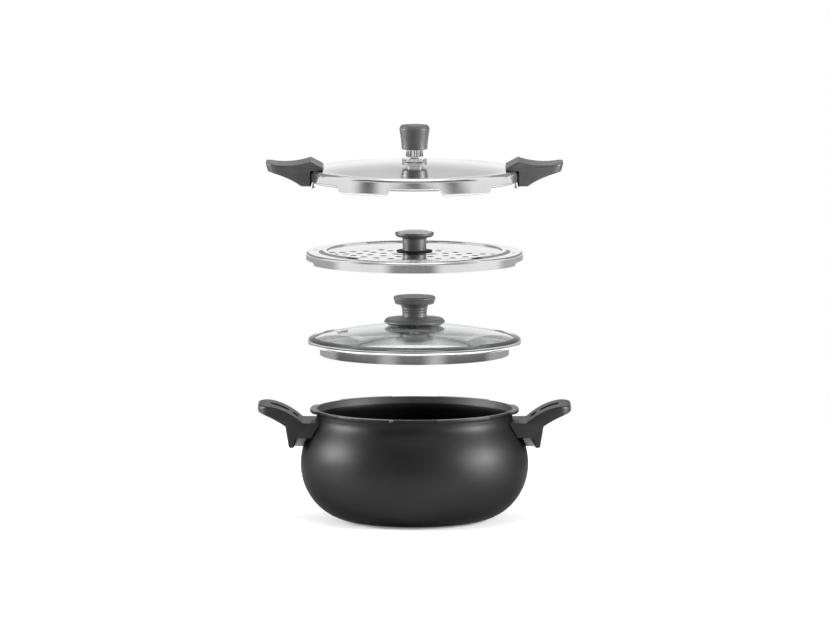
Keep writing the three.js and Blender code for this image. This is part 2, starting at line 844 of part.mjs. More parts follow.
function lidCutouts() {
  const half = lidOuter * Math.tan(turn(cutoutAngle / 2));
  const cutouts = [];
  for (let k = 0; k < lugCount; k += 1) {
    const window = outline([
      [-half, -cutMargin],
      [half, -cutMargin],
      [half, 0],
      [half - cutoutSlope, cutoutHeight],
      [cutoutSlope - half, cutoutHeight],
      [-half, 0],
    ]);
    const block = prism(window, 2 * cutMargin).rotateX(Math.PI / 2);
    cutouts.push(block.translate(0, lidOuter + cutMargin, 0).rotateZ(turn(k * lugPitch)));
  }
  return mergeGeometries(cutouts);
}

// Stands a piece on the dome at the safety valve, square to the surface
function placeValve(geometry) {
  const slope = Math.asin(valvePlace / domeSphere);
  const height = crown(domeTop, domeSphere, valvePlace);
  return geometry.rotateX(-slope).translate(0, valvePlace, height);
}

function makeLidShell() {
  const bore = ventThread + boltPlay;
  const shell = turnedRing([
    [lidInner, 0],
    [lidOuter, 0],
    ...lidCurve(0),
    ...crownCurve(domeTop - lidSheet, domeSphere, bore, domeRadius, domeSteps),
    [lidInner, lidHeight - lidSheet],
  ]);
  const valveHole = pillar(valveThread + boltPlay, -cutMargin, cutMargin);
  return cut(join(shell, lidLugs()), lidCutouts(), placeValve(valveHole));
}

// The lid's outer form with a gap added, which trims what is fixed to it
function lidTrimmer() {
  return turned([
    [0, -cutMargin],
    [lidOuter + seatGap, -cutMargin],
    ...lidCurve(seatGap),
    [0, domeTop + seatGap],
  ]);
}

function makeGasket() {
  const outer = gasketOuter;
  return turnedRing([
    [outer - gasketReach, gasketBottom],
    [outer, gasketBottom],
    [outer, gasketTop],
    [outer - gasketReach, gasketTop],
    [outer - gasketReach, gasketTop - gasketLip],
    [outer - gasketWall, gasketTop - gasketLip],
    [outer - gasketWall, gasketBottom + gasketLip],
    [outer - gasketReach, gasketBottom + gasketLip],
  ]);
}

// Pressure lid's handles

function lidHandleOutline() {
  const tip = lidOuter + lidHandleReach;
  const tipUnder = lidHandleTipTop - lidHandleTipDepth;
  const toe = lidOuter - lidHandleToe;
  const footEnd = lidOuter + lidHandleFootReach;
  const peak = lidOuter - lidHandlePeak;
  const shape = new THREE.Shape();
  shape.moveTo(toe, lidHandleFoot);
  shape.lineTo(footEnd, lidHandleFoot);
  shape.quadraticCurveTo(footEnd + lidHandleBend, lidHandleBendHeight, tip - lidHandleTipSlant, tipUnder);
  shape.lineTo(tip, lidHandleTipTop);
  const middle = (tip + peak) / 2;
  const hollow = (lidHandleTipTop + lidHandleTop) / 2 - lidHandleDip;
  shape.quadraticCurveTo(middle, hollow, peak, lidHandleTop);
  shape.lineTo(toe, lidHeight + seatGap + lidHandleToeThickness);
  return shape;
}

function strapOutline(grow) {
  const inner = lidOuter + seatGap - grow;
  return outline([
    [inner, strapFoot - grow],
    [lidOuter + seatGap + strapSheet + grow, strapFoot - grow],
    [lidOuter + seatGap + strapSheet + grow, strapTop - strapSheet - grow],
    [lidOuter + strapReach + grow, strapTop - strapSheet - grow],
    [lidOuter + strapReach + grow, strapTop + grow],
    [inner, strapTop + grow],
  ]);
}

const lidScrewRadius = lidOuter + lidScrewPlace;
const lidScrewSeat = lidHandleFoot + footCover + screwHeadHeight;

function makeLidHandle() {
  const inner = lidOuter - lidHandleToe;
  const tip = lidOuter + lidHandleReach;
  const blade = widened(lidHandleOutline(), lidHandleWidth, handleRound);
  const plan = roundedPlan(inner, tip, lidHandleWidth, lidHandleTipWidth, lidHandleCorner);
  const rounded = common(blade, prism(plan, lidHandleTop + cutMargin));
  const shankEnd = strapTop + lidScrewRise + boltPlay;
  const shankHole = pillar(screwShank + boltPlay, lidScrewSeat - seatGap, shankEnd);
  const headHole = pillar(screwHead + boltPlay, -cutMargin, lidScrewSeat);
  return cut(
    rounded,
    lidTrimmer(),
    widened(strapOutline(seatGap), strapWidth + 2 * seatGap),
    shankHole.translate(lidScrewRadius, 0, 0),
    headHole.translate(lidScrewRadius, 0, 0),
  );
}

function makeLidStrap() {
  const hole = pillar(screwShank + boltPlay, 0, lidHandleTop);
  return cut(widened(strapOutline(0), strapWidth), hole.translate(lidScrewRadius, 0, 0));
}

function makeLidScrew() {
  const reach = strapTop + lidScrewRise - lidScrewSeat;
  const upright = screw(screwShank, reach, screwHead, screwHeadHeight);
  return upright.rotateX(Math.PI).translate(lidScrewRadius, 0, lidScrewSeat - seatGap);
}

// Vent pipe, safety valve and weight

function makeVentPipe() {
  return turnedRing([
    [ventBore, domeTop - ventThreadDepth],
    [ventThread, domeTop - ventThreadDepth],
    [ventThread, ventBase],
    [ventBossRadius, ventBase],
    [ventBossRadius, ventBossTop - ventBossEdge],
    [ventBossRadius - ventBossEdge, ventBossTop],
    [ventStub, ventBossTop],
    [ventStub, ventTip - ventCone],
    [ventStub - ventCone, ventTip],
    [ventBore, ventTip],
  ], knobSides);
}

// A nut whose top face is at the given height
function makeNut(across, bore, height, top) {
  const shape = hexagon(across);
  shape.holes.push(new THREE.Path(circle(bore + boltPlay, boltSides)));
  return prism(shape, height).translate(0, 0, top - height);
}

function makeSafetyValve() {
  const crownTop = seatGap + valveHexHeight + valveCrownHeight;
  const body = turnedRing([
    [valveBore, -valveThreadDepth],
    [valveThread, -valveThreadDepth],
    [valveThread, seatGap + valveHexHeight / 2],
    [valveCrown, seatGap + valveHexHeight / 2],
    [valveCrown, crownTop - valveCrownEdge],
    [valveCrown - valveCrownEdge, crownTop],
    [valveBore, crownTop],
  ], knobSides);
  const collar = makeNut(valveAcross, valveThread - 2 * boltPlay, valveHexHeight, seatGap + valveHexHeight);
  return placeValve(join(body, collar));
}

function makeSafetyPlug() {
  const top = seatGap + valveHexHeight + valveCrownHeight;
  return placeValve(pillar(valveBore - seatGap, seatGap - valveThreadDepth, top + plugStand));
}

function makeWeightCore() {
  const bore = ventStub + dropPlay;
  const legTop = weightFoot + weightLegHeight;
  const seat = ventTip + seatGap;
  const core = turned([
    [0, seat],
    [ventStub - ventCone, seat],
    [bore, seat - ventCone],
    [bore, weightFoot],
    [weightLegRadius, weightFoot],
    [weightLegRadius, legTop],
    [weightStud, legTop],
    [weightStud, legTop + weightStudHeight],
    [0, legTop + weightStudHeight],
  ], knobSides);
  const flutes = [];
  for (let k = 0; k < weightFlutes; k += 1) {
    const flute = pillar(weightFlute, weightFoot - cutMargin, legTop + seatGap / 2);
    const angle = (2 * Math.PI * (k + 0.5)) / weightFlutes;
    const radius = weightLegRadius + weightFlute / 3;
    flutes.push(flute.translate(radius * Math.cos(angle), radius * Math.sin(angle), 0));
  }
  return cut(core, mergeGeometries(flutes));
}

function makeWeightCap() {
  const base = weightFoot + weightLegHeight + seatGap;
  const top = base + capHeight;
  const hole = weightStud + seatGap;
  const holeTop = base + weightStudHeight;
  return turned([
    [0, holeTop],
    [hole, holeTop],
    [hole, base],
    [capFoot - capFootEdge, base],
    [capFoot, base + capFootEdge],
    [(capFoot + capRadius) / 2 - capHollow, base + capHeight / 2],
    [capRadius, top - capBevel],
    [capRadius - capBevel / 4, top - capBevel / 2],
    [capRadius - capBevel / 2, top],
    [0, top + knobCrown],
  ], knobSides);
}

function addPressureLid() {
  const lid = new THREE.Group();
  lid.position.z = pressureLidHeight;
  group.add(lid);
  addPiece('lid_gasket', makeGasket(), 'blackRubber', lid);
  addPiece('lid_shell', makeLidShell(), 'polishedSteel', lid);
  addPiece('vent_pipe', makeVentPipe(), 'polishedSteel', lid);
  const nutTop = domeTop - lidSheet - seatGap;
  addPiece('vent_nut', makeNut(nutAcross, ventThread, nutHeight, nutTop), 'polishedSteel', lid);
  addPiece('safety_valve', makeSafetyValve(), 'brass', lid);
  addPiece('safety_plug', makeSafetyPlug(), 'polishedSteel', lid);
  const valveNut = makeNut(valveAcross, valveThread, valveNutHeight, -lidSheet - seatGap);
  addPiece('safety_valve_nut', placeValve(valveNut), 'brass', lid);
  addPiece('weight_core', makeWeightCore(), 'chrome', lid);
  addPiece('weight_cap', makeWeightCap(), 'greyPlastic', lid);
  addPair(lid, (side, end) => {
    addPiece(`lid_handle_${side}`, makeLidHandle(), 'greyPlastic', end);
    addPiece(`lid_handle_strap_${side}`, makeLidStrap(), 'polishedSteel', end);
    addPiece(`lid_handle_screw_${side}`, makeLidScrew(), 'polishedSteel', end);
  });
}

// Runs once for each end of the object, the left one turned half round
function addPair(parent, addEnd) {
  [['right', 0], ['left', Math.PI]].forEach(([side, angle]) => {
    const end = new THREE.Group();
    end.rotation.z = angle;
    parent.add(end);
    addEnd(side, end);
  });
}

function addPot() {
  addPiece('pot_body', makePotBody(), 'hardAnodised');
  addPair(group, (side, end) => {
    addPiece(`pot_handle_${side}`, makePotHandle(), 'bakelite', end);
    addPiece(`pot_bracket_${side}`, makePotBracket(), 'polishedSteel', end);
    const fixing = addPiece(`pot_handle_screw_${side}`, makePotScrew(), 'polishedSteel', end);
    fixing.position.set(potScrewSeat + seatGap, 0, potScrewHeight);
  });
}

addPot();
addGlassLid();
addStrainerLid();
addPressureLid();

export default group;
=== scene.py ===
import json
import math

import bmesh
import bpy
from mathutils import Matrix, Vector
from mathutils.geometry import delaunay_2d_cdt

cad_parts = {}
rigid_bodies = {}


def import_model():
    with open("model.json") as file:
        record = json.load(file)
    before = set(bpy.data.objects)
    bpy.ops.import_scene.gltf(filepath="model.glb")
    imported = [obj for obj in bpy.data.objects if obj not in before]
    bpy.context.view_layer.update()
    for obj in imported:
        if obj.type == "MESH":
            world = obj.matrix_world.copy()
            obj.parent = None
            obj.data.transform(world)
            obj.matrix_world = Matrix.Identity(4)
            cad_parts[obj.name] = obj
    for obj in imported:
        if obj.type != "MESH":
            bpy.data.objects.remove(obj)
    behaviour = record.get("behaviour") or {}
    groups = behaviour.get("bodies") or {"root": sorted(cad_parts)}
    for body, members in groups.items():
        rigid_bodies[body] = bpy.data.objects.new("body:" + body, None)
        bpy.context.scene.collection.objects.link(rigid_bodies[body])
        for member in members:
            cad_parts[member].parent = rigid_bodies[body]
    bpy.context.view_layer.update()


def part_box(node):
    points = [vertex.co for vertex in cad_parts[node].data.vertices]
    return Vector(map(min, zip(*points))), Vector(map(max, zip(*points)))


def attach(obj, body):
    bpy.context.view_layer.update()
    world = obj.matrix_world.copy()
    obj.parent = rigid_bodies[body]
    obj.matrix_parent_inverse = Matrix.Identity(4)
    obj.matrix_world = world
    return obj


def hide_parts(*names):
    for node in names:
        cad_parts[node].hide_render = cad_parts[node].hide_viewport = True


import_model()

scene = bpy.context.scene
mm = 0.001  # sizes are written in millimetres, meshes are made in metres
gap = 0.3  # air between two pieces that sit on each other
quarterTurn = math.pi / 2
facingUp = 0.3  # a face whose normal rises more than this counts as a top face


# Sizes read from the frame

def lowest(node):
    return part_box(node)[0].z / mm


def highest(node):
    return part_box(node)[1].z / mm


def farthest(node):
    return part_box(node)[1].x / mm


# Tools that make meshes

meshing = {"weld": 1e-7, "sharp": 32, "sides": 144, "arcShare": 0.49, "besideArc": 0.5, "besideShare": 0.6,
           "straight": 1e-4, "mitre": 0.5}
sidesOf = {"drill": 32, "lidDrill": 36, "headDrill": 48, "washer": 96, "plug": 48}


def tidyMesh(mesh, sharp):
    work = bmesh.new()
    work.from_mesh(mesh)
    bmesh.ops.remove_doubles(work, verts=work.verts, dist=meshing["weld"])
    bmesh.ops.recalc_face_normals(work, faces=work.faces)
    work.to_mesh(mesh)
    work.free()
    mesh.polygons.foreach_set("use_smooth", [True] * len(mesh.polygons))
    mesh.set_sharp_from_angle(angle=math.radians(sharp))
    mesh.update()


def addMesh(name, verts, faces, sharp=meshing["sharp"]):
    mesh = bpy.data.meshes.new(name)
    mesh.from_pydata([(x * mm, y * mm, z * mm) for x, y, z in verts], [], faces)
    tidyMesh(mesh, sharp)
    obj = bpy.data.objects.new(name, mesh)
    scene.collection.objects.link(obj)
    return obj


def between(start, end, count):
    # the places that part a length into count equal steps, without its ends
    return [start + (end - start) * i / count for i in range(1, count)]


def rounded(points, closed=False, steps=5):
    # corners given as (r, z, radius) become arcs, corners given as (r, z) stay sharp
    line = []
    for i, point in enumerate(points):
        here = Vector(point[:2])
        atEnd = not closed and i in (0, len(points) - 1)
        if len(point) < 3 or atEnd:
            line.append(tuple(here))
            continue
        back = Vector(points[i - 1][:2]) - here
        ahead = Vector(points[(i + 1) % len(points)][:2]) - here
        half = back.angle(ahead) / 2
        most = meshing["arcShare"]
        tangent = min(point[2] / math.tan(half), most * back.length, most * ahead.length)
        middle = back.normalized() + ahead.normalized()
        if middle.length < meshing["straight"]:  # no corner left, but the count of points stays
            line += [tuple(here)] * (steps + 3)
            continue
        radius = tangent * math.tan(half)
        centre = here + middle.normalized() * (radius / math.sin(half))
        first = here + back.normalized() * tangent - centre
        last = here + ahead.normalized() * tangent - centre
        turn = first.angle_signed(last)  # clockwise is positive
        # a point on the straight just beside the arc keeps the straight's shading flat
        beside, share = meshing["besideArc"], meshing["besideShare"]
        before, after = (min(beside, share * (side.length / 2 - tangent)) for side in (back, ahead))
        line.append(tuple(here + back.normalized() * (tangent + before)))
        for k in range(steps + 1):
            angle = math.atan2(first.y, first.x) - turn * k / steps
            line.append((centre.x + radius * math.cos(angle), centre.y + radius * math.sin(angle)))
        line.append(tuple(here + ahead.normalized() * (tangent + after)))
    return line


def bezier(a, b, c, d, steps):
    line = []
    for i in range(steps + 1):
        t = i / steps
        shares = ((1 - t) ** 3, 3 * t * (1 - t) ** 2, 3 * t * t * (1 - t), t ** 3)
        line.append(tuple(sum(s * p[k] for s, p in zip(shares, (a, b, c, d))) for k in (0, 1)))
    return line


def sheetSection(path, thickness):
    # the closed section of a pressed sheet whose middle follows the path
    outer, inner = [], []
    for i, point in enumerate(path):
        before = Vector(path[max(i - 1, 0)])
        after = Vector(path[min(i + 1, len(path) - 1)])
        along = (after - before).normalized() * thickness / 2
        outer.append((point[0] - along.y, point[1] + along.x))
        inner.append((point[0] + along.y, point[1] - along.x))
    return outer + inner[::-1]


def turned(name, section, sides=meshing["sides"], lift=0, closed=True):
    # section is a list of (r, z), or a function of the angle that gives one
    rings = []
    for k in range(sides):
        angle = 2 * math.pi * k / sides
        points = section(angle) if callable(section) else section
        rings.append([(r * math.cos(angle), r * math.sin(angle), z + lift) for r, z in points])
    count = len(rings[0])
    steps = count if closed else count - 1
    faces = []
    for k in range(sides):
        here, there = k * count, (k + 1) % sides * count
        for i in range(steps):
            j = (i + 1) % count
            faces.append((here + i, there + i, there + j, here + j))
    return addMesh(name, [p for ring in rings for p in ring], faces)


def lofted(name, loops, sharp=meshing["sharp"]):
    # closed loops of equal count, joined in turn and capped at both ends
    count = len(loops[0])
    faces = [tuple(range(count)), tuple(range((len(loops) - 1) * count, len(loops) * count))]
    for k in range(len(loops) - 1):
        for i in range(count):
            j = (i + 1) % count
            faces.append((k * count + i, k * count + j, (k + 1) * count + j, (k + 1) * count + i))
    return addMesh(name, [p for loop in loops for p in loop], faces, sharp)


def drawnIn(loop, depth):
    # a clockwise loop of (x, z), every side moved in by the same depth
    moved = []
    for i, point in enumerate(loop):
        here = Vector(point)
        back = (here - Vector(loop[i - 1])).normalized()
        ahead = (Vector(loop[(i + 1) % len(loop)]) - here).normalized()
        way = back + ahead
        if way.length < 1e-6:
            way = ahead
        way.normalize()
        stretch = 1 / max(way.dot(ahead), meshing["mitre"])
        moved.append((here.x + way.y * depth * stretch, here.y - way.x * depth * stretch))
    return moved


def drill(radius, low, high, sides=sidesOf["drill"]):
    # a cutter along Z
    return turned("drill", [(0, low), (radius, low), (radius, high), (0, high)], sides, closed=False)


def carve(obj, *cutters, sharp=meshing["sharp"]):
    for cutter in cutters:
        cut = obj.modifiers.new("carve", "BOOLEAN")
        cut.operation = "DIFFERENCE"
        cut.solver = "EXACT"
        cut.object = cutter
    bpy.context.view_layer.update()
    mesh = bpy.data.meshes.new_from_object(obj.evaluated_get(bpy.context.evaluated_depsgraph_get()))
    obj.modifiers.clear()
    obj.data = mesh
    tidyMesh(mesh, sharp)
    for cutter in cutters:
        bpy.data.objects.remove(cutter)


def place(obj, *moves):
    for move in moves:
        obj.data.transform(move)
    return obj


def shift(x=0, y=0, z=0):
    return Matrix.Translation((x * mm, y * mm, z * mm))


def tilt(angle, axis):
    return Matrix.Rotation(angle, 4, axis)


def dress(obj, looks, body, slot, *nodes):
    # looks names one finish, or several with spaces between them
    obj.data.materials.clear()
    for look in looks.split():
        obj.data.materials.append(finishes[look])
    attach(obj, body)
    if nodes:
        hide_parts(*nodes)


def dressPair(right, looks, body, slot, node):
    # the left piece is the right one turned half round the axis
    left = bpy.data.objects.new(right.name.replace("Right", "Left"), right.data.copy())
    left.data.transform(tilt(math.pi, "Z"))
    scene.collection.objects.link(left)
    dress(right, looks, body, slot, f"{node}_right")
    dress(left, looks, body, slot, f"{node}_left")
    return right, left


def mark(obj, finishOf):
    # finishOf gives a face's finish by number, from its middle in millimetres and its normal
    for face in obj.data.polygons:
        face.material_index = int(finishOf(face.center / mm, face.normal))


def softStep(value):
    t = min(max(value, 0), 1)
    return t * t * (3 - 2 * t)


def teeth(angle, high, low, width, ramp, count, start=0):
    # high over each of the evenly spaced teeth, low between them; angles in degrees
    pitch = 360 / count
    off = abs((math.degrees(angle) - start + pitch / 2) % pitch - pitch / 2)
    return low + (high - low) * softStep((width / 2 + ramp - off) / ramp)


# Materials

grain = {  # shared by the finishes, depths in metres
    "around": 0.02, "lineDepth": 0.00002, "cloudDepth": 0.0003, "cloudRelief": 0.1, "grainDepth": 0.00006,
    "darkAt": 0.3, "lightAt": 0.7, "roughness": 0.55,
}


def newMaterial(name, settings):
    material = bpy.data.materials.new(name)
    material.use_nodes = True
    shader = material.node_tree.nodes["Principled BSDF"]
    for socket, value in settings.items():
        shader.inputs[socket].default_value = value
    return material, shader


def addNode(material, kind, **sockets):
    node = material.node_tree.nodes.new(kind)
    for socket, value in sockets.items():
        node.inputs[socket].default_value = value
    return node


def link(material, source, target):
    material.node_tree.links.new(source, target)


def calc(material, operation, *values):
    # one step of arithmetic on numbers or on what other nodes give
    node = addNode(material, "ShaderNodeMath")
    node.operation = operation
    for socket, value in zip(node.inputs, values):
        if isinstance(value, (int, float)):
            socket.default_value = value
        else:
            link(material, value, socket)
    return node.outputs[0]


def ownPlace(material):
    return addNode(material, "ShaderNodeTexCoord").outputs["Object"]


def spunPlace(material):
    # distance from the axis, a little of the way round, and height, so that marks follow the turning
    parts = addNode(material, "ShaderNodeSeparateXYZ")
    link(material, ownPlace(material), parts.inputs[0])
    x, y, z = parts.outputs
    squares = [calc(material, "MULTIPLY", side, side) for side in (x, y)]
    radius = calc(material, "SQRT", calc(material, "ADD", *squares))
    around = calc(material, "MULTIPLY", calc(material, "ARCTAN2", y, x), grain["around"])
    whole = addNode(material, "ShaderNodeCombineXYZ")
    for source, socket in zip((radius, around, z), whole.inputs):
        link(material, source, socket)
    return whole.outputs[0]


def noise(material, coords, scale, detail):
    node = addNode(material, "ShaderNodeTexNoise", Scale=scale, Detail=detail, Roughness=grain["roughness"])
    link(material, coords, node.inputs["Vector"])
    return node.outputs["Fac"]


def shades(material, value, dark, light):
    # dark and light are colours or greys
    node = addNode(material, "ShaderNodeValToRGB")
    places = (grain["darkAt"], grain["lightAt"])
    for element, where, colour in zip(node.color_ramp.elements, places, (dark, light)):
        element.position = where
        element.color = (*colour, 1) if isinstance(colour, tuple) else (colour, colour, colour, 1)
    link(material, value, node.inputs["Fac"])
    return node.outputs["Color"]


def spreadOf(material, value, low, high, start=0, end=1):
    # low where the value is at the start of its range, high at the end
    sockets = {"From Min": start, "From Max": end, "To Min": low, "To Max": high}
    node = addNode(material, "ShaderNodeMapRange", **sockets)
    link(material, value, node.inputs["Value"])
    return node.outputs["Result"]


def relief(material, shader, *heights):
    # heights are (value, strength, depth), laid over each other
    before = None
    for value, strength, depth in heights:
        node = addNode(material, "ShaderNodeBump", Strength=strength, Distance=depth)
        link(material, value, node.inputs["Height"])
        if before:
            link(material, before, node.inputs["Normal"])
        before = node.outputs["Normal"]
    link(material, before, shader.inputs["Normal"])


def spunMetal(name, look):
    edge = look.get("grazing", 1)
    settings = {"Metallic": look["metallic"], "Specular Tint": (edge, edge, edge, 1)}
    material, shader = newMaterial(name, settings)
    lines = noise(material, spunPlace(material), look["lines"], detail=2)
    cloud = noise(material, ownPlace(material), look["cloud"], detail=5)
    tint = addNode(material, "ShaderNodeMix")
    tint.data_type = "RGBA"
    tint.blend_type = "MULTIPLY"
    tint.inputs["Factor"].default_value = 1
    link(material, shades(material, cloud, look["dark"], look["light"]), tint.inputs["A"])
    link(material, shades(material, lines, look["lineShade"], 1.0), tint.inputs["B"])
    link(material, tint.outputs["Result"], shader.inputs["Base Color"])
    mean = calc(material, "MULTIPLY", calc(material, "ADD", lines, cloud), 0.5)
    link(material, spreadOf(material, mean, *look["roughness"]), shader.inputs["Roughness"])
    relief(material, shader, (lines, look["lineRelief"], grain["lineDepth"]))
    return material


def mouldedPlastic(name, look):
    material, shader = newMaterial(name, {"Metallic": 0.0, "Specular IOR Level": look["gloss"]})
    here = ownPlace(material)
    fine = noise(material, here, look["grain"], detail=2)
    cloud = noise(material, here, look["cloud"], detail=4)
    link(material, shades(material, cloud, look["dark"], look["light"]), shader.inputs["Base Color"])
    link(material, spreadOf(material, cloud, *look["roughness"]), shader.inputs["Roughness"])
    relief(material, shader, (cloud, grain["cloudRelief"], grain["cloudDepth"]),
           (fine, look["grainRelief"], grain["grainDepth"]))
    return material


def clearGlass(name, look):
    material, shader = newMaterial(name, {
        "Base Color": look["colour"], "Transmission Weight": 1.0, "IOR": look["index"],
        "Specular IOR Level": look["gloss"]})
    smear = noise(material, ownPlace(material), look["smear"], detail=4)
    wave = noise(material, ownPlace(material), look["wave"], detail=1)
    link(material, spreadOf(material, smear, *look["roughness"]), shader.inputs["Roughness"])
    relief(material, shader, (wave, look["waveRelief"], look["waveDepth"]))
    return material


finishes = {
    "potCoating": spunMetal("hard anodised pot", {
        "metallic": 0.85, "grazing": 0.4, "dark": (0.0215, 0.0215, 0.022), "light": (0.0255, 0.0255, 0.026),
        "lineShade": 0.9, "lines": 2600, "cloud": 22, "roughness": (0.38, 0.48), "lineRelief": 0.12}),
    "rimEdge": spunMetal("machined pot rim", {
        "metallic": 1.0, "dark": (0.06, 0.06, 0.061), "light": (0.085, 0.085, 0.086), "lineShade": 0.85,
        "lines": 3500, "cloud": 60, "roughness": (0.28, 0.4), "lineRelief": 0.12}),
    "mouthBand": spunMetal("turned pot mouth", {
        "metallic": 0.3, "dark": (0.022, 0.022, 0.0225), "light": (0.032, 0.032, 0.0325), "lineShade": 0.85,
        "lines": 3500, "cloud": 60, "roughness": (0.5, 0.6), "lineRelief": 0.12}),
    # painted shade and dark reflection: a darker steel on the top of the glass lid's rolled rim and lip
    "rolledEdge": spunMetal("painted shade on rim roll", {
        "metallic": 1.0, "dark": (0.16, 0.16, 0.163), "light": (0.22, 0.22, 0.223), "lineShade": 0.9,
        "lines": 3000, "cloud": 60, "roughness": (0.16, 0.28), "lineRelief": 0.1}),
    "polishedSteel": spunMetal("polished lid steel", {
        "metallic": 1.0, "dark": (0.74, 0.74, 0.75), "light": (0.8, 0.8, 0.805), "lineShade": 0.96,
        "lines": 3000, "cloud": 30, "roughness": (0.07, 0.15), "lineRelief": 0.06}),
    "bracketMetal": spunMetal("pressed bracket metal", {
        "metallic": 1.0, "dark": (0.2, 0.2, 0.203), "light": (0.27, 0.27, 0.273), "lineShade": 0.88,
        "lines": 1200, "cloud": 90, "roughness": (0.34, 0.5), "lineRelief": 0.2}),
    "zincSteel": spunMetal("plated screw steel", {
        "metallic": 1.0, "dark": (0.55, 0.55, 0.56), "light": (0.68, 0.68, 0.69), "lineShade": 0.9,
        "lines": 4000, "cloud": 300, "roughness": (0.2, 0.36), "lineRelief": 0.12}),
    "chrome": spunMetal("chromed weight", {
        "metallic": 1.0, "dark": (0.76, 0.77, 0.78), "light": (0.82, 0.83, 0.84), "lineShade": 0.97,
        "lines": 4000, "cloud": 120, "roughness": (0.04, 0.12), "lineRelief": 0.04}),
    "brass": spunMetal("turned brass", {
        "metallic": 1.0, "dark": (0.5, 0.36, 0.15), "light": (0.62, 0.47, 0.22), "lineShade": 0.85,
        "lines": 3500, "cloud": 140, "roughness": (0.2, 0.36), "lineRelief": 0.15}),
    "handlePlastic": mouldedPlastic("moulded pot handle", {
        "dark": (0.006, 0.006, 0.0062), "light": (0.009, 0.009, 0.0093), "gloss": 0.36,
        "grain": 1900, "cloud": 70, "roughness": (0.36, 0.5), "grainRelief": 0.25}),
    # painted shade: a near-black plastic laid on the slot floors of the pot handles and on the strainer
    # knob's foot ring, standing in for shade
    "gripSlot": mouldedPlastic("painted shade plastic", {
        "dark": (0.004, 0.004, 0.004), "light": (0.007, 0.007, 0.007), "gloss": 0.2,
        "grain": 1500, "cloud": 80, "roughness": (0.6, 0.75), "grainRelief": 0.3}),
    "knobPlastic": mouldedPlastic("moulded grey knob", {
        "dark": (0.043, 0.043, 0.044), "light": (0.055, 0.055, 0.056), "gloss": 0.45,
        "grain": 2200, "cloud": 90, "roughness": (0.34, 0.46), "grainRelief": 0.2}),
    # painted shade: a darker plastic on the handles' rounded edges, standing in for their shade
    "knobEdge": mouldedPlastic("painted shade on handle edges", {
        "dark": (0.018, 0.018, 0.0185), "light": (0.026, 0.026, 0.0265), "gloss": 0.4,
        "grain": 2200, "cloud": 90, "roughness": (0.3, 0.42), "grainRelief": 0.12}),
    "paleCap": mouldedPlastic("pale knob top", {
        "dark": (0.26, 0.263, 0.266), "light": (0.32, 0.323, 0.326), "gloss": 0.3,
        "grain": 1600, "cloud": 60, "roughness": (0.24, 0.36), "grainRelief": 0.06}),
    "gasketRubber": mouldedPlastic("black gasket rubber", {
        "dark": (0.008, 0.008, 0.008), "light": (0.014, 0.014, 0.014), "gloss": 0.35,
        "grain": 1300, "cloud": 60, "roughness": (0.5, 0.66), "grainRelief": 0.3}),
    "washerSilicone": mouldedPlastic("milky washer", {
        "dark": (0.6, 0.6, 0.58), "light": (0.7, 0.7, 0.68), "gloss": 0.4,
        "grain": 1300, "cloud": 90, "roughness": (0.4, 0.55), "grainRelief": 0.15}),
    # painted shade: a near-black wall for the punched holes, standing in for the shade seen through them
    "punchedEdge": mouldedPlastic("painted shade in holes", {
        "dark": (0.012, 0.012, 0.012), "light": (0.03, 0.03, 0.03), "gloss": 0.3,
        "grain": 2500, "cloud": 400, "roughness": (0.45, 0.7), "grainRelief": 0.3}),
    "lidGlass": clearGlass("clear lid glass", {
        "colour": (0.84, 0.865, 0.858, 1), "index": 1.42, "gloss": 0.12, "smear": 35,
        "roughness": (0.0, 0.05), "wave": 9, "waveRelief": 0.04, "waveDepth": 0.0006}),
}
print("materials:", len(finishes))


# Pot body

potBody = {
    "baseRadius": 60, "bellyHeight": 56, "shoulderPull": 28, "neckPull": 10,
    "neckRadius": 98, "neckHeight": 8, "wall": 2.6, "floor": 4,
    "flange": 3, "lugRadius": 104.5, "notchRadius": 100.6, "lugs": 6, "lugAngle": 32, "lugRamp": 2,
    "edge": 0.7, "fillet": 1.6, "flare": 1.7, "flareDepth": 6.5, "mouthEdge": 0.4, "mouthRound": 3,
    "steps": 26, "sides": 360,
}
potTop = highest("pot_body")
bellyRadius = farthest("pot_body")


def potCurve(inset, foot):
    p = potBody
    belly, neck = bellyRadius - inset, p["neckRadius"] - inset
    wide, neckFoot = p["bellyHeight"], potTop - p["neckHeight"]
    line = []
    for i in range(p["steps"] + 1):
        angle = quarterTurn * i / p["steps"]
        radius = p["baseRadius"] + (belly - p["baseRadius"]) * math.sin(angle)
        line.append((radius, wide - (wide - foot) * math.cos(angle)))
    shoulder = bezier((belly, wide), (belly, wide + p["shoulderPull"]), (neck, neckFoot - p["neckPull"]),
                      (neck, neckFoot), p["steps"])
    return line + shoulder[1:]


potOuter = potCurve(0, 0)
potInner = potCurve(potBody["wall"], potBody["floor"])


def potRadius(z):
    # outer radius of the pot at a height
    for (r0, z0), (r1, z1) in zip(potOuter, potOuter[1:]):
        if z0 <= z <= z1:
            return r0 + (r1 - r0) * (z - z0) / (z1 - z0)
    return potOuter[-1][0]


def besidePot(z, y):
    # how far out a piece begins that sits against the pot, beside its middle
    return math.sqrt((potRadius(z) + gap) ** 2 - y * y)


def potSection(angle):
    p = potBody
    rim = teeth(angle, p["lugRadius"], p["notchRadius"], p["lugAngle"], p["lugRamp"], p["lugs"])
    neck, mouth = p["neckRadius"], p["neckRadius"] - p["wall"]
    under, edge = potTop - p["flange"], p["edge"]
    lip = rounded([(neck, potTop - p["neckHeight"]), (neck, under, p["fillet"]), (rim, under, edge),
                   (rim, potTop, edge), (mouth + p["flare"], potTop, p["mouthEdge"]),
                   (mouth, potTop - p["flareDepth"], p["mouthRound"]), (mouth, potTop - p["neckHeight"])])
    return [(0, 0), *potOuter[:-1], *lip, *potInner[-2::-1], (0, p["floor"])]


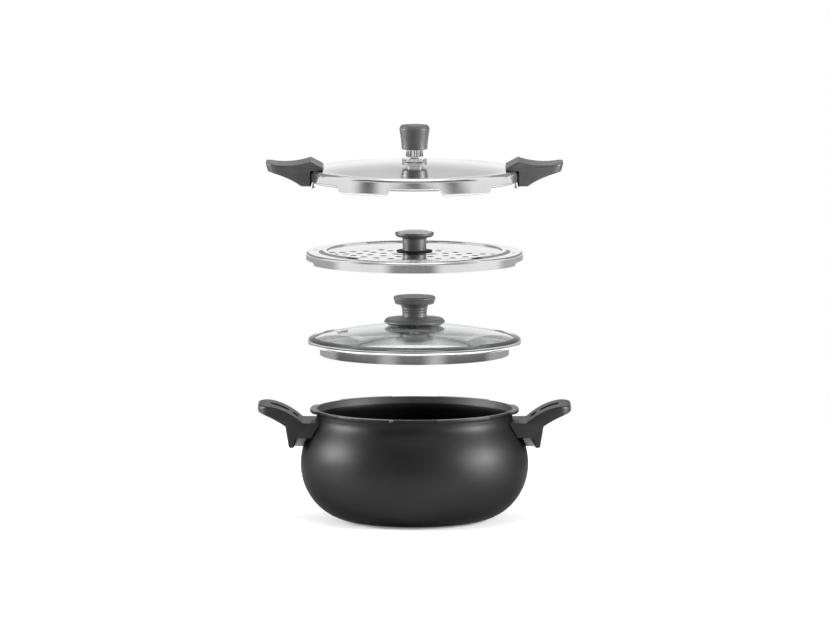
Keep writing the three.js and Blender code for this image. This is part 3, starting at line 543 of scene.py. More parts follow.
def makePotBody():
    p = potBody
    mouth = p["neckRadius"] - p["wall"]

    def finishOf(centre, normal):  # the flange's top and the flared mouth are machined
        radius, height = centre.xy.length, centre.z
        if normal.z > facingUp and radius > p["neckRadius"] + gap and height > potTop - p["flange"]:
            return 1
        flared = mouth - gap < radius < mouth + p["flare"] + gap
        return 2 if flared and height > potTop - p["flareDepth"] else 0

    pot = turned("potBody", potSection, p["sides"], closed=False)
    dress(pot, "potCoating rimEdge mouthBand", "pot", "pot_coating", "pot_body")
    mark(pot, finishOf)


makePotBody()
print("pot body done")


# Pot handles

potHandle = {
    "width": 63, "corner": 13, "edge": 1.3, "armTop": 100.4, "armBottom": 85.2,
    "knee": 112, "kneeRound": 2.5, "kneeRun": 6, "armRun": 3, "rise": 16.8, "bulge": 5.6,
    "tipUnder": 110.9, "underBulge": 1.2, "tipRound": 2.6, "tipRun": 3,
    "legInner": 118, "legOuter": 129, "legTop": 97, "legBottom": 75.5, "legRound": 1.5, "legRun": 4,
    "underRun": 2, "footInner": 120.5, "foot": 5, "footRound": 2.2,
    "slots": [(116.2, 122.2), (125.2, 144.2)], "slotWidth": 15, "slotDepth": 1.6, "slotRound": 2,
    "slotEdge": 0.8, "slotShade": 0.6,  # the part of its depth below which a slot's faces are painted dark as shade
    "screwHeight": 79.9, "screwSeat": 123.9, "screwHole": 2.1, "shankRoom": (-8, 2), "headHole": 3.7,
    "headRoom": 40, "armSteps": 8, "topSteps": 53, "underSteps": 14, "fineStep": 0.8, "fineCount": 14,
    "coarse": [12.5, 15, 18], "sharp": 38,
}
handleTip = farthest("pot_handle_right")


def gripTop(x):
    u = (x - potHandle["knee"]) / (handleTip - potHandle["knee"])
    return potHandle["armTop"] + potHandle["rise"] * u + 4 * potHandle["bulge"] * u * (1 - u)


def gripUnder(x):
    v = (x - potHandle["legOuter"]) / (handleTip - potHandle["legOuter"])
    rise = potHandle["tipUnder"] - potHandle["legTop"]
    return potHandle["legTop"] + rise * v + 4 * potHandle["underBulge"] * v * (1 - v)


def slotDepth(x, y):
    depth, r = 0, potHandle["slotRound"]
    for start, end in potHandle["slots"]:
        qx = abs(x - (start + end) / 2) - (end - start) / 2 + r
        qy = abs(y) - potHandle["slotWidth"] / 2 + r
        away = math.hypot(max(qx, 0), max(qy, 0)) + min(max(qx, qy), 0) - r
        depth = max(depth, potHandle["slotDepth"] * softStep(-away / potHandle["slotEdge"]))
    return depth


def potHandleLoop(y, tip, inset):
    # clockwise from the pot along the arm and the grip's top, round the tip, back under it and down the leg
    h = potHandle
    knee, armTop, armBottom, leg = h["knee"], h["armTop"], h["armBottom"], h["legOuter"]
    arm = besidePot(armTop, y)
    loop = [(x, armTop) for x in (arm, *between(arm, knee - h["armRun"], h["armSteps"]))]
    ahead = knee + h["kneeRun"]
    loop += rounded([(knee - h["kneeRun"], armTop), (knee, armTop, h["kneeRound"]),
                     (ahead, gripTop(ahead))])[1:-1]
    end = tip - h["tipRound"]
    loop += [(x, gripTop(x) - slotDepth(x, y)) for x in between(loop[-1][0], end, h["topSteps"])]
    back = end - h["tipRun"]
    loop += rounded([(back, gripTop(back)), (tip, gripTop(tip), h["tipRound"]),
                     (tip, gripUnder(tip), h["tipRound"]), (back, gripUnder(back))])[1:-1]
    loop += [(x, gripUnder(x)) for x in between(end, leg + h["underRun"], h["underSteps"])]
    ahead, footOuter = leg + h["legRun"], h["footInner"] + h["foot"]
    loop += rounded([(ahead, gripUnder(ahead)), (leg, h["legTop"], h["legRound"]),
                     (footOuter, h["legBottom"], h["footRound"]),
                     (h["footInner"], h["legBottom"], h["footRound"]),
                     (h["legInner"], armBottom, h["legRound"]), (besidePot(armBottom, y), armBottom)])[1:]
    loop += [(besidePot(z, y), z) for z in between(armBottom, armTop, h["armSteps"])]
    return [(x, y, z) for x, z in drawnIn(loop, inset)]


def handleStations(width, corner, edge, flat, cornerSteps=8, edgeSteps=5):
    # (y, how far the tip draws back, how far the outline draws in) from the middle to one side, then mirrored
    half = width / 2
    stations = [(y, 0, 0) for y in flat]
    last = math.asin((corner - edge) / corner)
    for i in range(1, cornerSteps + 1):
        angle = last * i / cornerSteps
        stations.append((half - corner + corner * math.sin(angle), corner * (1 - math.cos(angle)), 0))
    for i in range(1, edgeSteps + 1):
        turn = quarterTurn * i / edgeSteps
        y = half - edge + edge * math.sin(turn)
        angle = math.asin(min((y - half + corner) / corner, 1))
        stations.append((y, corner * (1 - math.cos(angle)), edge * (1 - math.cos(turn))))
    mirrored = [(-y, back, inset) for y, back, inset in reversed(stations) if y > 0]
    return mirrored + stations


def makePotHandles():
    h = potHandle
    flat = [h["fineStep"] * i for i in range(h["fineCount"])] + h["coarse"]
    stations = handleStations(h["width"], h["corner"], h["edge"], flat)
    loops = [potHandleLoop(y, handleTip - back, inset) for y, back, inset in stations]
    right = lofted("potHandleRight", loops, h["sharp"])
    headHole = drill(h["headHole"], 0, h["headRoom"], sidesOf["headDrill"])
    holes = headHole, drill(h["screwHole"], *h["shankRoom"])
    for hole in holes:
        place(hole, tilt(quarterTurn, "Y"), shift(h["screwSeat"], 0, h["screwHeight"]))
    carve(right, *holes, sharp=h["sharp"])

    # painted shade: faces deep in a slot take the near-black plastic
    def inPaintedSlotShade(centre, normal):
        x, y, z = abs(centre.x), abs(centre.y), centre.z
        onTop = normal.z > facingUp and x > h["knee"] and y < h["slotWidth"] / 2
        return onTop and gripTop(x) - z > h["slotDepth"] * h["slotShade"]

    for handle in dressPair(right, "handlePlastic gripSlot", "pot", "handle_plastic", "pot_handle"):
        mark(handle, inPaintedSlotShade)


makePotHandles()
print("pot handles done")


# Pot brackets

potBracket = {"width": 24, "height": 10, "edge": 0.9, "round": 0.99, "outerTop": 117.7, "lean": 0.33,
              "edgeTurns": (0, 0.52, 1.05, quarterTurn), "innerSteps": 6, "holeFrom": 105, "holeTo": 130}
bracketTop = highest("pot_bracket_right")


def makePotBrackets():
    b = potBracket
    edge, foot = b["edge"], bracketTop - b["height"]
    outerFoot = b["outerTop"] + b["lean"] * b["height"]
    flat = b["width"] / 2 - edge
    side = [(flat + edge * math.sin(turn), edge * (1 - math.cos(turn))) for turn in b["edgeTurns"]]
    loops = []
    for y, inset in [(-y, inset) for y, inset in reversed(side)] + side:
        loop = rounded([(besidePot(bracketTop, y), bracketTop), (b["outerTop"], bracketTop, b["round"]),
                        (outerFoot, foot, b["round"]), (besidePot(foot, y), foot)])
        loop += [(besidePot(z, y), z) for z in between(foot, bracketTop, b["innerSteps"])]
        loops.append([(x, y, z) for x, z in drawnIn(loop, inset)])
    right = lofted("potBracketRight", loops)
    hole = drill(potHandle["screwHole"], b["holeFrom"], b["holeTo"])
    carve(right, place(hole, tilt(quarterTurn, "Y"), shift(0, 0, potHandle["screwHeight"])))
    dressPair(right, "bracketMetal", "pot", "bracket_metal", "pot_bracket")


makePotBrackets()
print("pot brackets done")


# Screws, washers and nuts

screwForm = {"edge": 0.8, "tip": 0.4, "recess": 0.62, "recessWaist": 0.22, "recessDepth": 1.2,
             "recessTaper": 0.75, "recessPower": 5, "sides": 72}
handleScrew = {"shank": 1.8, "head": 3.4, "headHeight": 2.4, "potReach": 12.7}
knobScrew = {"shank": 2.5, "head": 5, "headHeight": 3}
# bevel radius over half the width across flats, and drop for each millimetre taken off a corner
hexForm = {"bevel": 1.04, "drop": 0.6}


def screwPiece(name, size, reach):
    # along +Z, head above zero, with a cross recess
    s = screwForm
    shank, head, height = size["shank"], size["head"], size["headHeight"]
    deep = height - s["recessDepth"]

    def section(angle):
        cross = abs(math.cos(2 * angle)) ** s["recessPower"]
        arm = head * (s["recessWaist"] + (s["recess"] - s["recessWaist"]) * cross)
        crown = rounded([(head, 0), (head, height, s["edge"]), (arm, height)])
        return [(0, -reach), (shank - s["tip"], -reach), (shank, s["tip"] - reach), (shank, 0), *crown,
                (arm * s["recessTaper"], deep), (0, deep)]

    return turned(name, section, s["sides"], closed=False)


def hexCorner(across, angle):
    # corner and bevel radius at an angle, and how far the bevel drops
    off = (math.degrees(angle) + 30) % 60 - 30
    corner = across / 2 / math.cos(math.radians(off))
    bevel = min(corner, across / 2 * hexForm["bevel"])
    return corner, bevel, (corner - bevel) * hexForm["drop"]


def nutPiece(name, across, bore, bottom, top):
    def section(angle):
        corner, bevel, drop = hexCorner(across, angle)
        return [(bore, bottom), (bevel, bottom), (corner, bottom + drop), (corner, top - drop), (bevel, top),
                (bore, top)]

    return turned(name, section)


def makePotScrews():
    right = screwPiece("potHandleScrewRight", handleScrew, handleScrew["potReach"])
    place(right, tilt(quarterTurn, "Y"), shift(potHandle["screwSeat"] + gap, 0, potHandle["screwHeight"]))
    dressPair(right, "zincSteel", "pot", "fastener_steel", "pot_handle_screw")


def makeKnobFixings(lid, bore, edge, look, slot):
    # a washer under the lid, and the knob's screw up through it
    node = f"{lid}_knob_washer"
    low, top, radius = lowest(node), highest(node), farthest(node)
    section = rounded([(bore, low), (radius, low, edge), (radius, top, edge), (bore, top)])
    washer = turned(f"{lid}KnobWasher", section, sidesOf["washer"])
    dress(washer, look, f"{lid}_lid", slot, node)
    node, seat = f"{lid}_knob_screw", low - gap
    screw = screwPiece(f"{lid}KnobScrew", knobScrew, highest(node) - seat)
    place(screw, tilt(math.pi, "X"), shift(0, 0, seat))
    dress(screw, "zincSteel", f"{lid}_lid", "fastener_steel", node)


makePotScrews()


# Glass lid

def domeHeight(peak, sphere, radius):
    return peak - (sphere - math.sqrt(sphere ** 2 - radius ** 2))


def domeLine(peak, sphere, start, end, steps):
    places = [start + (end - start) * i / steps for i in range(steps + 1)]
    return [(radius, domeHeight(peak, sphere, radius)) for radius in places]


glassDome = {"radius": 104.3, "rise": 14.4, "thick": 4, "bore": 4.3, "edge": 1.4, "steps": 40, "sides": 180}
glassRim = {"sheet": 1.2, "skirtRadius": 94.6, "skirt": 9.7, "radius": 106.5, "lip": 4, "bend": 1.4,
            "roll": 2.2, "rollFacing": 0.35, "sides": 240}
glassSeat = lowest("glass_rim") + glassRim["skirt"]  # underside of the flange
glassEdge = glassRim["sheet"] + gap
glassTop = glassEdge + glassDome["thick"] + glassDome["rise"]
glassSphere = (glassDome["radius"] ** 2 + glassDome["rise"] ** 2) / (2 * glassDome["rise"])
eyelet = {"place": 72, "bore": 2.2, "tube": 3.4, "flange": 6, "lip": 0.8, "edge": 0.5, "topEdge": 0.7,
          "sides": 48}
throughLid = (-9, 9)  # reach of a drill that is set on a lid's outer face


def onGlass(radius):
    return domeHeight(glassTop, glassSphere, radius)


def atEyelet():
    slope = math.asin(eyelet["place"] / glassSphere)
    return tilt(-slope, "Y"), shift(-eyelet["place"], 0, glassSeat + onGlass(eyelet["place"]))


def makeGlassDome():
    g = glassDome
    under = domeLine(glassTop - g["thick"], glassSphere, g["bore"], g["radius"], g["steps"])
    upper = domeLine(glassTop, glassSphere, g["radius"], g["bore"], g["steps"])
    rim = rounded([under[-2], (*under[-1], g["edge"]), (*upper[0], g["edge"]), upper[1]])
    dome = turned("glassDome", under[:-2] + rim + upper[2:], g["sides"], glassSeat)
    carve(dome, place(drill(eyelet["tube"] + gap, *throughLid, sidesOf["lidDrill"]), *atEyelet()))
    dress(dome, "lidGlass", "glass_lid", "lid_glass", "glass_dome")


def makeEyelet():
    e = eyelet
    bore, tube, flange = e["bore"], e["tube"], e["flange"]
    under, top = -glassDome["thick"] - gap, gap + e["lip"]
    low = under - e["lip"]
    section = rounded([(bore, low), (flange, low, e["edge"]), (flange, under), (tube, under), (tube, gap),
                       (flange, gap), (flange, top, e["topEdge"]), (bore, top, e["edge"])], closed=True)
    piece = place(turned("glassVentEyelet", section, e["sides"]), *atEyelet())
    dress(piece, "polishedSteel", "glass_lid", "polished_steel", "glass_vent_eyelet")


def makeGlassRim():
    r = glassRim
    half = r["sheet"] / 2
    wall, skirt = r["radius"] - half, r["skirtRadius"] - half
    lip = glassDome["radius"] - r["lip"]
    over = lambda radius: onGlass(radius) + gap + half
    path = rounded([(skirt, -r["skirt"]), (skirt, half, r["bend"]), (wall, half, r["roll"]),
                    (wall, over(wall), r["roll"]), (lip, over(lip))])
    rim = turned("glassRim", sheetSection(path, r["sheet"]), r["sides"], glassSeat)
    dress(rim, "polishedSteel rolledEdge", "glass_lid", "polished_steel", "glass_rim")
    # painted shade and dark reflection on the upward faces of the roll and lip
    mark(rim, lambda centre, normal: normal.z > r["rollFacing"] and centre.z > glassSeat + r["roll"])


makeGlassDome()
makeEyelet()
makeGlassRim()

glassCollar = {
    "radius": 31, "foot": 25.5, "top": 28.3, "edge": 3, "shoulder": 6.4, "height": 8, "seat": 14.5,
    "bore": 2.8, "rounds": (0.8, 1, 1.2, 3),  # foot, edge, shoulder, seat
    "prongWidth": 2.6, "prongSpread": 5.4, "prongDrop": 3, "prongReach": 3.2, "prongRoot": 1.5,
    "prongTaper": 0.5, "prongEdge": 0.8, "prongSteps": 4,
}
glassKnob = {
    "foot": 12.2, "stem": 4.5, "neck": 14.5, "neckPull": (0.4, 3), "radius": 21.2, "height": 20.3,
    "head": 7.4, "headFrom": 1, "edge": 1.2, "under": 0.6, "crown": 0.6, "rounds": (0.8, 1, 1),
    "ribs": 5, "ribDepth": 0.35, "ribStart": 4, "ribEnd": 5, "steps": 40,
}


def makeGlassCollar():
    c = glassCollar
    foot = lambda radius: (radius, onGlass(radius) + gap)
    atFoot, atEdge, atShoulder, atSeat = c["rounds"]
    top = glassTop + c["height"]
    section = rounded([foot(c["bore"]), foot(c["foot"] / 2), (*foot(c["foot"]), atFoot),
                       (c["radius"], glassTop + c["edge"], atEdge),
                       (c["top"], glassTop + c["shoulder"], atShoulder), (c["seat"], top, atSeat),
                       (c["bore"], top)])
    collar = turned("glassKnobCollar", section, lift=glassSeat)
    dress(collar, "knobPlastic", "glass_lid", "knob_plastic", "glass_knob_collar")


def makeProngs():
    # two small feet at the front of the collar, narrower towards the glass
    c = glassCollar
    top, edge = glassSeat + glassTop + c["edge"], c["prongEdge"]
    for side, word in ((-1, "Left"), (1, "Right")):
        loops = []
        for k in range(c["prongSteps"] + 1):
            share = k / c["prongSteps"]
            narrow = c["prongTaper"] * share ** 2
            half = c["prongWidth"] / 2 - narrow
            back, front = c["prongRoot"] - c["foot"], narrow - c["foot"] - c["prongReach"]
            plan = rounded([(-half, back), (-half, front, edge), (half, front, edge), (half, back)], steps=4)
            middle, low = side * c["prongSpread"] / 2, top - c["prongDrop"] * share
            loops.append([(x + middle, y, low) for x, y in plan])
        dress(lofted(f"glassKnobProng{word}", loops), "knobPlastic", "glass_lid", "knob_plastic")


def makeGlassKnob():
    k = glassKnob
    base = glassTop + glassCollar["height"] + gap
    top, head = base + k["height"], base + k["height"] - k["head"]
    out, down = k["neckPull"]
    flare = bezier((k["foot"], base), (k["foot"], base + k["stem"]), (k["foot"] + out, head - down),
                   (k["neck"], head), k["steps"])
    ribbed = []
    for r, z in flare:
        share = (z - base) / (head - base)
        groove = k["ribDepth"] * max(0, math.sin(share * k["ribs"] * 2 * math.pi - quarterTurn)) ** 2
        ribbed.append((r - groove * softStep(k["ribStart"] * share) * softStep(k["ribEnd"] * (1 - share)), z))
    shoulder = k["radius"] - k["edge"]
    under, side, rim = k["rounds"]
    crown = rounded([(k["neck"] + k["headFrom"], head), (shoulder - k["under"], head, under),
                     (k["radius"], top - k["edge"], side), (shoulder, top, rim), (0, top + k["crown"])])
    knob = turned("glassKnob", [(0, base), *ribbed, *crown], lift=glassSeat, closed=False)
    dress(knob, "knobPlastic", "glass_lid", "knob_plastic", "glass_knob")


makeGlassCollar()
makeProngs()
makeGlassKnob()
makeKnobFixings("glass", glassCollar["bore"], 0.6, "washerSilicone", "washer_silicone")
print("glass lid done")


# Strainer lid

strainerRim = {
    "sheet": 1, "skirt": 9.4, "radius": 108.4, "bend": 1.6, "notch": 3, "notchAngle": 44, "notchRamp": 2.5,
    "notches": 2, "bead": 90, "beadWidth": 4.4, "beadHeight": 1.5, "beadSlope": 4, "crestFrom": 0.6,
    "crestTo": 1.4, "lip": 0.2, "beadRounds": (5, 2, 0.8),
    "hole": 3.6, "holePlace": 99.5, "holeTurn": 8, "holeRoom": (-1, 2), "sides": 288,
}
strainerPlate = {
    "radius": 90.4, "edgeBand": 1, "sides": 240, "bore": 2.8, "boreSides": 32, "sharp": 40,
    "hole": 4.6, "land": 0.9, "holeSides": 24, "holeEdge": 1.2, "holeRoll": 0.5, "rollSteps": 3,
    "arcs": [  # radius, middle behind the axis, step in degrees, count
        (41, 38, 18, 6), (55, 28, 13.7, 9), (64.5, 15.5, 14.4, 10), (73, 2, 12.5, 13),
        (82.5, -2.5, 12.2, 14)],
}
strainerSeat = lowest("strainer_rim") + strainerRim["skirt"]  # underside of the flange


def strainerRimSection(angle):
    r = strainerRim
    half = r["sheet"] / 2
    width, ramp = r["notchAngle"] - r["notchRamp"], r["notchRamp"]
    foot = teeth(angle, r["notch"] - r["skirt"], -r["skirt"], width, ramp, r["notches"])
    wall = r["radius"] - half
    outer, inner = r["bead"] + r["beadWidth"] / 2, r["bead"] - r["beadWidth"] / 2
    crest = r["sheet"] + r["beadHeight"] - half
    rise, front, back = r["beadRounds"]
    path = rounded([(wall, foot), (wall, half, r["bend"]), (outer + r["beadSlope"], half, rise),
                    (outer - r["crestFrom"], crest, front), (inner + r["crestTo"], crest, back),
                    (inner + r["lip"], r["sheet"] + gap + half)])
    return sheetSection(path, r["sheet"])


def makeStrainerRim():
    r = strainerRim
    rim = turned("strainerRim", strainerRimSection, r["sides"], strainerSeat)
    holes = []
    for side in (0, math.pi):  # one hole in the flange beside each notch
        turn = side - math.radians(r["holeTurn"])
        hole = drill(r["hole"] / 2, *r["holeRoom"])
        holes.append(place(hole, shift(r["holePlace"], 0, strainerSeat), tilt(turn, "Z")))
    carve(rim, *holes)

    # painted shade on the walls of the flange's holes
    def inHoleShade(centre, normal):
        return abs(normal.z) < facingUp and abs(centre.xy.length - r["holePlace"]) < r["hole"]

    dress(rim, "polishedSteel punchedEdge", "strainer_lid", "polished_steel", "strainer_rim")
    mark(rim, inHoleShade)


def ring(radius, count, x=0, y=0):
    turns = [2 * math.pi * k / count for k in range(count)]
    return [Vector((x + radius * math.cos(turn), y + radius * math.sin(turn))) for turn in turns]


def strainerHoles():
    # the arcs' holes, but for those that would meet the bead or the knob's foot
    s = strainerPlate
    land = s["hole"] / 2 + s["land"]
    least = strainerKnob["foot"] + land
    most = strainerRim["bead"] - strainerRim["beadWidth"] / 2 - land
    centres = []
    for radius, middle, step, count in s["arcs"]:
        for k in range(count):
            angle = math.radians((k - count / 2) * step)
            x, y = radius * math.sin(angle), middle - radius * math.cos(angle)
            if least < math.hypot(x, y) < most:
                centres.append((x, y))
    return centres


def makeStrainerPlate():
    s = strainerPlate
    low, high = strainerSeat, strainerRim["sheet"] + strainerSeat
    wide = s["hole"] / 2 + s["holeEdge"]
    centres = strainerHoles()
    edges = [ring(s["radius"], s["sides"]), ring(s["bore"], s["boreSides"])]
    edges += [ring(wide, s["holeSides"], x, y) for x, y in centres]
    flat, bounds = [], []
    for loop in edges:
        first = len(flat)
        flat += loop
        bounds += [(first + k, first + (k + 1) % len(loop)) for k in range(len(loop))]
    points, _, triangles, *_ = delaunay_2d_cdt(flat, bounds, [], 1, 1e-6)
    voids = [(Vector((0, 0)), s["bore"])] + [(Vector(c), wide) for c in centres]
    solid = []
    for triangle in triangles:
        middle = sum((points[i] for i in triangle), Vector((0, 0))) / 3
        if not any((middle - centre).length < radius for centre, radius in voids):
            solid.append(tuple(triangle))
    count = len(points)
    verts = [(p.x, p.y, high) for p in points] + [(p.x, p.y, low) for p in points]
    faces = solid + [tuple(i + count for i in reversed(t)) for t in solid]
    plain = len(faces)
    first = 0
    for number, loop in enumerate(edges):
        size = len(loop)
        rows = [list(range(first, first + size))]
        if number > 1:  # a punched hole narrows below its rolled edge
            for step in range(1, s["rollSteps"] + 1):
                turn = quarterTurn * step / s["rollSteps"]
                radius, depth = wide - s["holeEdge"] * math.sin(turn), s["holeRoll"] * (1 - math.cos(turn))
                rows.append(list(range(len(verts), len(verts) + size)))
                verts += [(p.x, p.y, high - depth) for p in ring(radius, size, *centres[number - 2])]
        rows.append([i + count for i in rows[0]])
        for upper, lower in zip(rows, rows[1:]):
            for k in range(size):
                j = (k + 1) % size
                faces.append((upper[k], upper[j], lower[j], lower[k]))
        first += size
    plate = addMesh("strainerPlate", verts, faces, s["sharp"])
    dress(plate, "polishedSteel punchedEdge", "strainer_lid", "polished_steel", "strainer_plate")
    for face in plate.data.polygons:  # painted shade on the walls of the bore and the holes, but not on the plate's own edge
        inHoleShade = face.index >= plain and face.center.xy.length / mm < s["radius"] - s["edgeBand"]
        face.material_index = int(inHoleShade)


strainerKnob = {
    "foot": 18, "footEdge": 0.9, "footShadeBand": 0.5, "waist": 11.7, "stemFoot": (2, 0.4), "stemRise": 0.6,
    "throat": 0.5, "radius": 19.5, "height": 19, "head": 4.4, "headUnder": (1.6, 0.2), "headSide": 2.2,
    "footRounds": (0.3, 0.4, 0.8), "headRounds": (2.2, 0.9, 2, 1.7, 0.3), "footFrom": 2,
    "capInset": 2.6, "capDepth": 1, "capRise": 2, "capRound": 3.6, "capRounds": (0.5, 6), "capFrom": 1,
    "crown": 0.6,
}


def makeStrainerKnob():
    k = strainerKnob
    base = strainerRim["sheet"] + gap
    top, foot = base + k["height"], base + k["footEdge"]
    head, seat, floor = top - k["head"], k["radius"] - k["capInset"], top - k["capDepth"]
    out, up = k["stemFoot"]
    back, under = k["headUnder"]
    footUnder, footTop, stem = k["footRounds"]
    throat, brow, side, crown, lip = k["headRounds"]
    section = [(0, base), *rounded([
        (k["foot"] - k["footFrom"], base), (k["foot"], base, footUnder), (k["foot"], foot, footTop),
        (k["waist"] + out, foot + up), (k["waist"], foot + k["stemRise"], stem),
        (k["waist"] + k["throat"], head, throat), (k["radius"] - back, head + under, brow),
        (k["radius"], head + k["headSide"], side), (k["radius"], top, crown), (seat, top, lip),
        (seat, floor), (0, floor)])]
    knob = turned("strainerKnob", section, lift=strainerSeat, closed=False)
    dress(knob, "knobPlastic gripSlot", "strainer_lid", "knob_plastic", "strainer_knob")
    paintedShadeTo = strainerSeat + foot + k["footShadeBand"]  # painted shade: the foot disc is painted dark as a ring of shade round the stem
    mark(knob, lambda centre, normal: centre.z < paintedShadeTo)
    low, radius = floor + gap, seat - gap
    high = low + k["capRise"]
    edge, dome = k["capRounds"]
    section = [(0, low), *rounded([
        (radius - k["capFrom"], low), (radius, low), (radius, low + k["capRise"] / 2, edge),
        (radius - k["capRound"], high, dome), (0, high + k["crown"])])[1:]]
    cap = turned("strainerKnobCap", section, lift=strainerSeat, closed=False)
    dress(cap, "paleCap", "strainer_lid", "pale_cap", "strainer_knob_cap")


makeStrainerRim()
makeStrainerPlate()
makeStrainerKnob()
makeKnobFixings("strainer", strainerPlate["bore"], 0.4, "zincSteel", "fastener_steel")
print("strainer lid done")


# Pressure lid

lidShell = {
    "radius": 106.6, "sheet": 1.4, "height": 17.5, "corner": 3, "domeRadius": 96, "domeRise": 6.9,
    "bore": 5.3, "lugs": 6, "lugAngle": 25, "lugReach": 4, "lugRamp": 2, "hem": 0.9, "bend": 1.2,
    "cutoutAngle": 26, "cutoutHeight": 6, "cutoutRamp": 3.2, "steps": 24, "sides": 360,
}
lidSeat = lowest("lid_shell")
lidPeak = lidShell["height"] + lidShell["domeRise"]
lidSphere = (lidShell["domeRadius"] ** 2 + lidShell["domeRise"] ** 2) / (2 * lidShell["domeRise"])
valve = {"place": 48, "thread": 5, "bore": 2.2, "across": 15, "hex": 3.2, "crown": 5.4, "crownHeight": 3,
         "crownEdge": 1.6, "depth": 8, "nut": 4, "plugStand": 0.6, "plugEdge": 0.5}


def lidSection(angle):
    s = lidShell
    half = s["sheet"] / 2
    pitch = 180 / s["lugs"]  # the cut-outs lie midway between the lugs
    cutout = teeth(angle, s["cutoutHeight"], 0, s["cutoutAngle"], s["cutoutRamp"], s["lugs"], pitch)
    foot = half + cutout
    reach = teeth(angle, s["lugReach"], s["hem"], s["lugAngle"], s["lugRamp"], s["lugs"])
    wall = s["radius"] - half
    dome = domeLine(lidPeak - half, lidSphere, s["domeRadius"], s["bore"], s["steps"])
    path = rounded([(wall - half - reach, foot), (wall, foot, s["bend"]),
                    (wall, s["height"] - half, s["corner"]), dome[0]])
    return sheetSection(path + dome[1:], s["sheet"])


def atValve():
    slope = math.asin(valve["place"] / lidSphere)
    height = lidSeat + domeHeight(lidPeak, lidSphere, valve["place"])
    return tilt(-slope, "X"), shift(0, valve["place"], height)


def makeLidShell():
    shell = turned("lidShell", lidSection, lidShell["sides"], lidSeat)
    carve(shell, place(drill(valve["thread"] + gap, *throughLid, sidesOf["lidDrill"]), *atValve()))
    dress(shell, "polishedSteel", "pressure_lid", "polished_steel", "lid_shell")


lidGasket = {"wall": 3, "lip": 2.6, "reach": 8.4, "edge": 0.8, "groove": 1.2, "sides": 240}


def makeGasket():
    g = lidGasket
    edge, groove = g["edge"], g["groove"]
    low, high, outer = lowest("lid_gasket"), highest("lid_gasket"), farthest("lid_gasket")
    inner, back = outer - g["reach"], outer - g["wall"]
    section = rounded([(inner, low, edge), (outer, low, edge), (outer, high, edge), (inner, high, edge),
                       (inner, high - g["lip"], edge), (back, high - g["lip"], groove),
                       (back, low + g["lip"], groove), (inner, low + g["lip"], edge)], closed=True)
    dress(turned("lidGasket", section, g["sides"]), "gasketRubber", "gasket", "gasket_rubber", "lid_gasket")


makeLidShell()
makeGasket()

lidHandle = {
    "width": 56, "tipWidth": 46, "corner": 9, "edge": 1.4, "top": 26.8, "tipTop": 25.2, "tipDepth": 8.8,
    "dip": 3.2, "slant": 2.6, "peak": 3.2, "peakRun": 8, "tipRun": 3, "tipBack": 2,
    "toe": 15.3, "toeThick": 2.5, "toeLeast": 1.5, "bend": 12.7, "bendHeight": 11.2, "underRun": 6,
    "foot": 2, "footReach": 6.3, "footRun": 4, "footBack": 2, "wallFrom": 4, "ledge": 1, "overBand": 0.2,
    "topRounds": (0.8, 1.6), "tipRounds": (1.2, 1.5), "footRound": 2,
    "screwPlace": 8.4, "screwSeat": 7.8, "screwTip": 18, "screwHole": 2.1, "headHole": 3.7, "holeRoom": 20,
    "topSteps": 25, "underSteps": 20, "lidSteps": 5, "flat": [0, 0.12, 0.24, 0.36, 0.48, 0.58],
    "sharp": 38, "edgeSide": (0.2, 0.97), "edgeRise": 0.2,  # how far a rolled edge's faces turn, where they get painted shade
}
lidHandleTip = farthest("lid_handle_right")
strap = {"sheet": 1.5, "width": 18, "reach": 15, "foot": 4, "top": 13, "bend": 2, "inside": 0.6,
         "pocketCorner": 0.01}


def lidHandleTop(x):
    h = lidHandle
    peak = lidShell["radius"] - h["peak"]
    u = (x - peak) / (lidHandleTip - peak)
    return h["top"] + (h["tipTop"] - h["top"]) * u - 4 * h["dip"] * u * (1 - u)


def lidHandleUnder(x):
    # a curve from the foot to the tip that bends at one point
    h = lidHandle
    start = lidShell["radius"] + h["footReach"]
    bend, end = start + h["bend"], lidHandleTip - h["slant"]
    a, b, c = start - 2 * bend + end, 2 * (bend - start), start - x
    t = (-b + math.sqrt(max(b * b - 4 * a * c, 0))) / (2 * a)
    tipUnder = h["tipTop"] - h["tipDepth"]
    return (1 - t) ** 2 * h["foot"] + 2 * t * (1 - t) * h["bendHeight"] + t * t * tipUnder


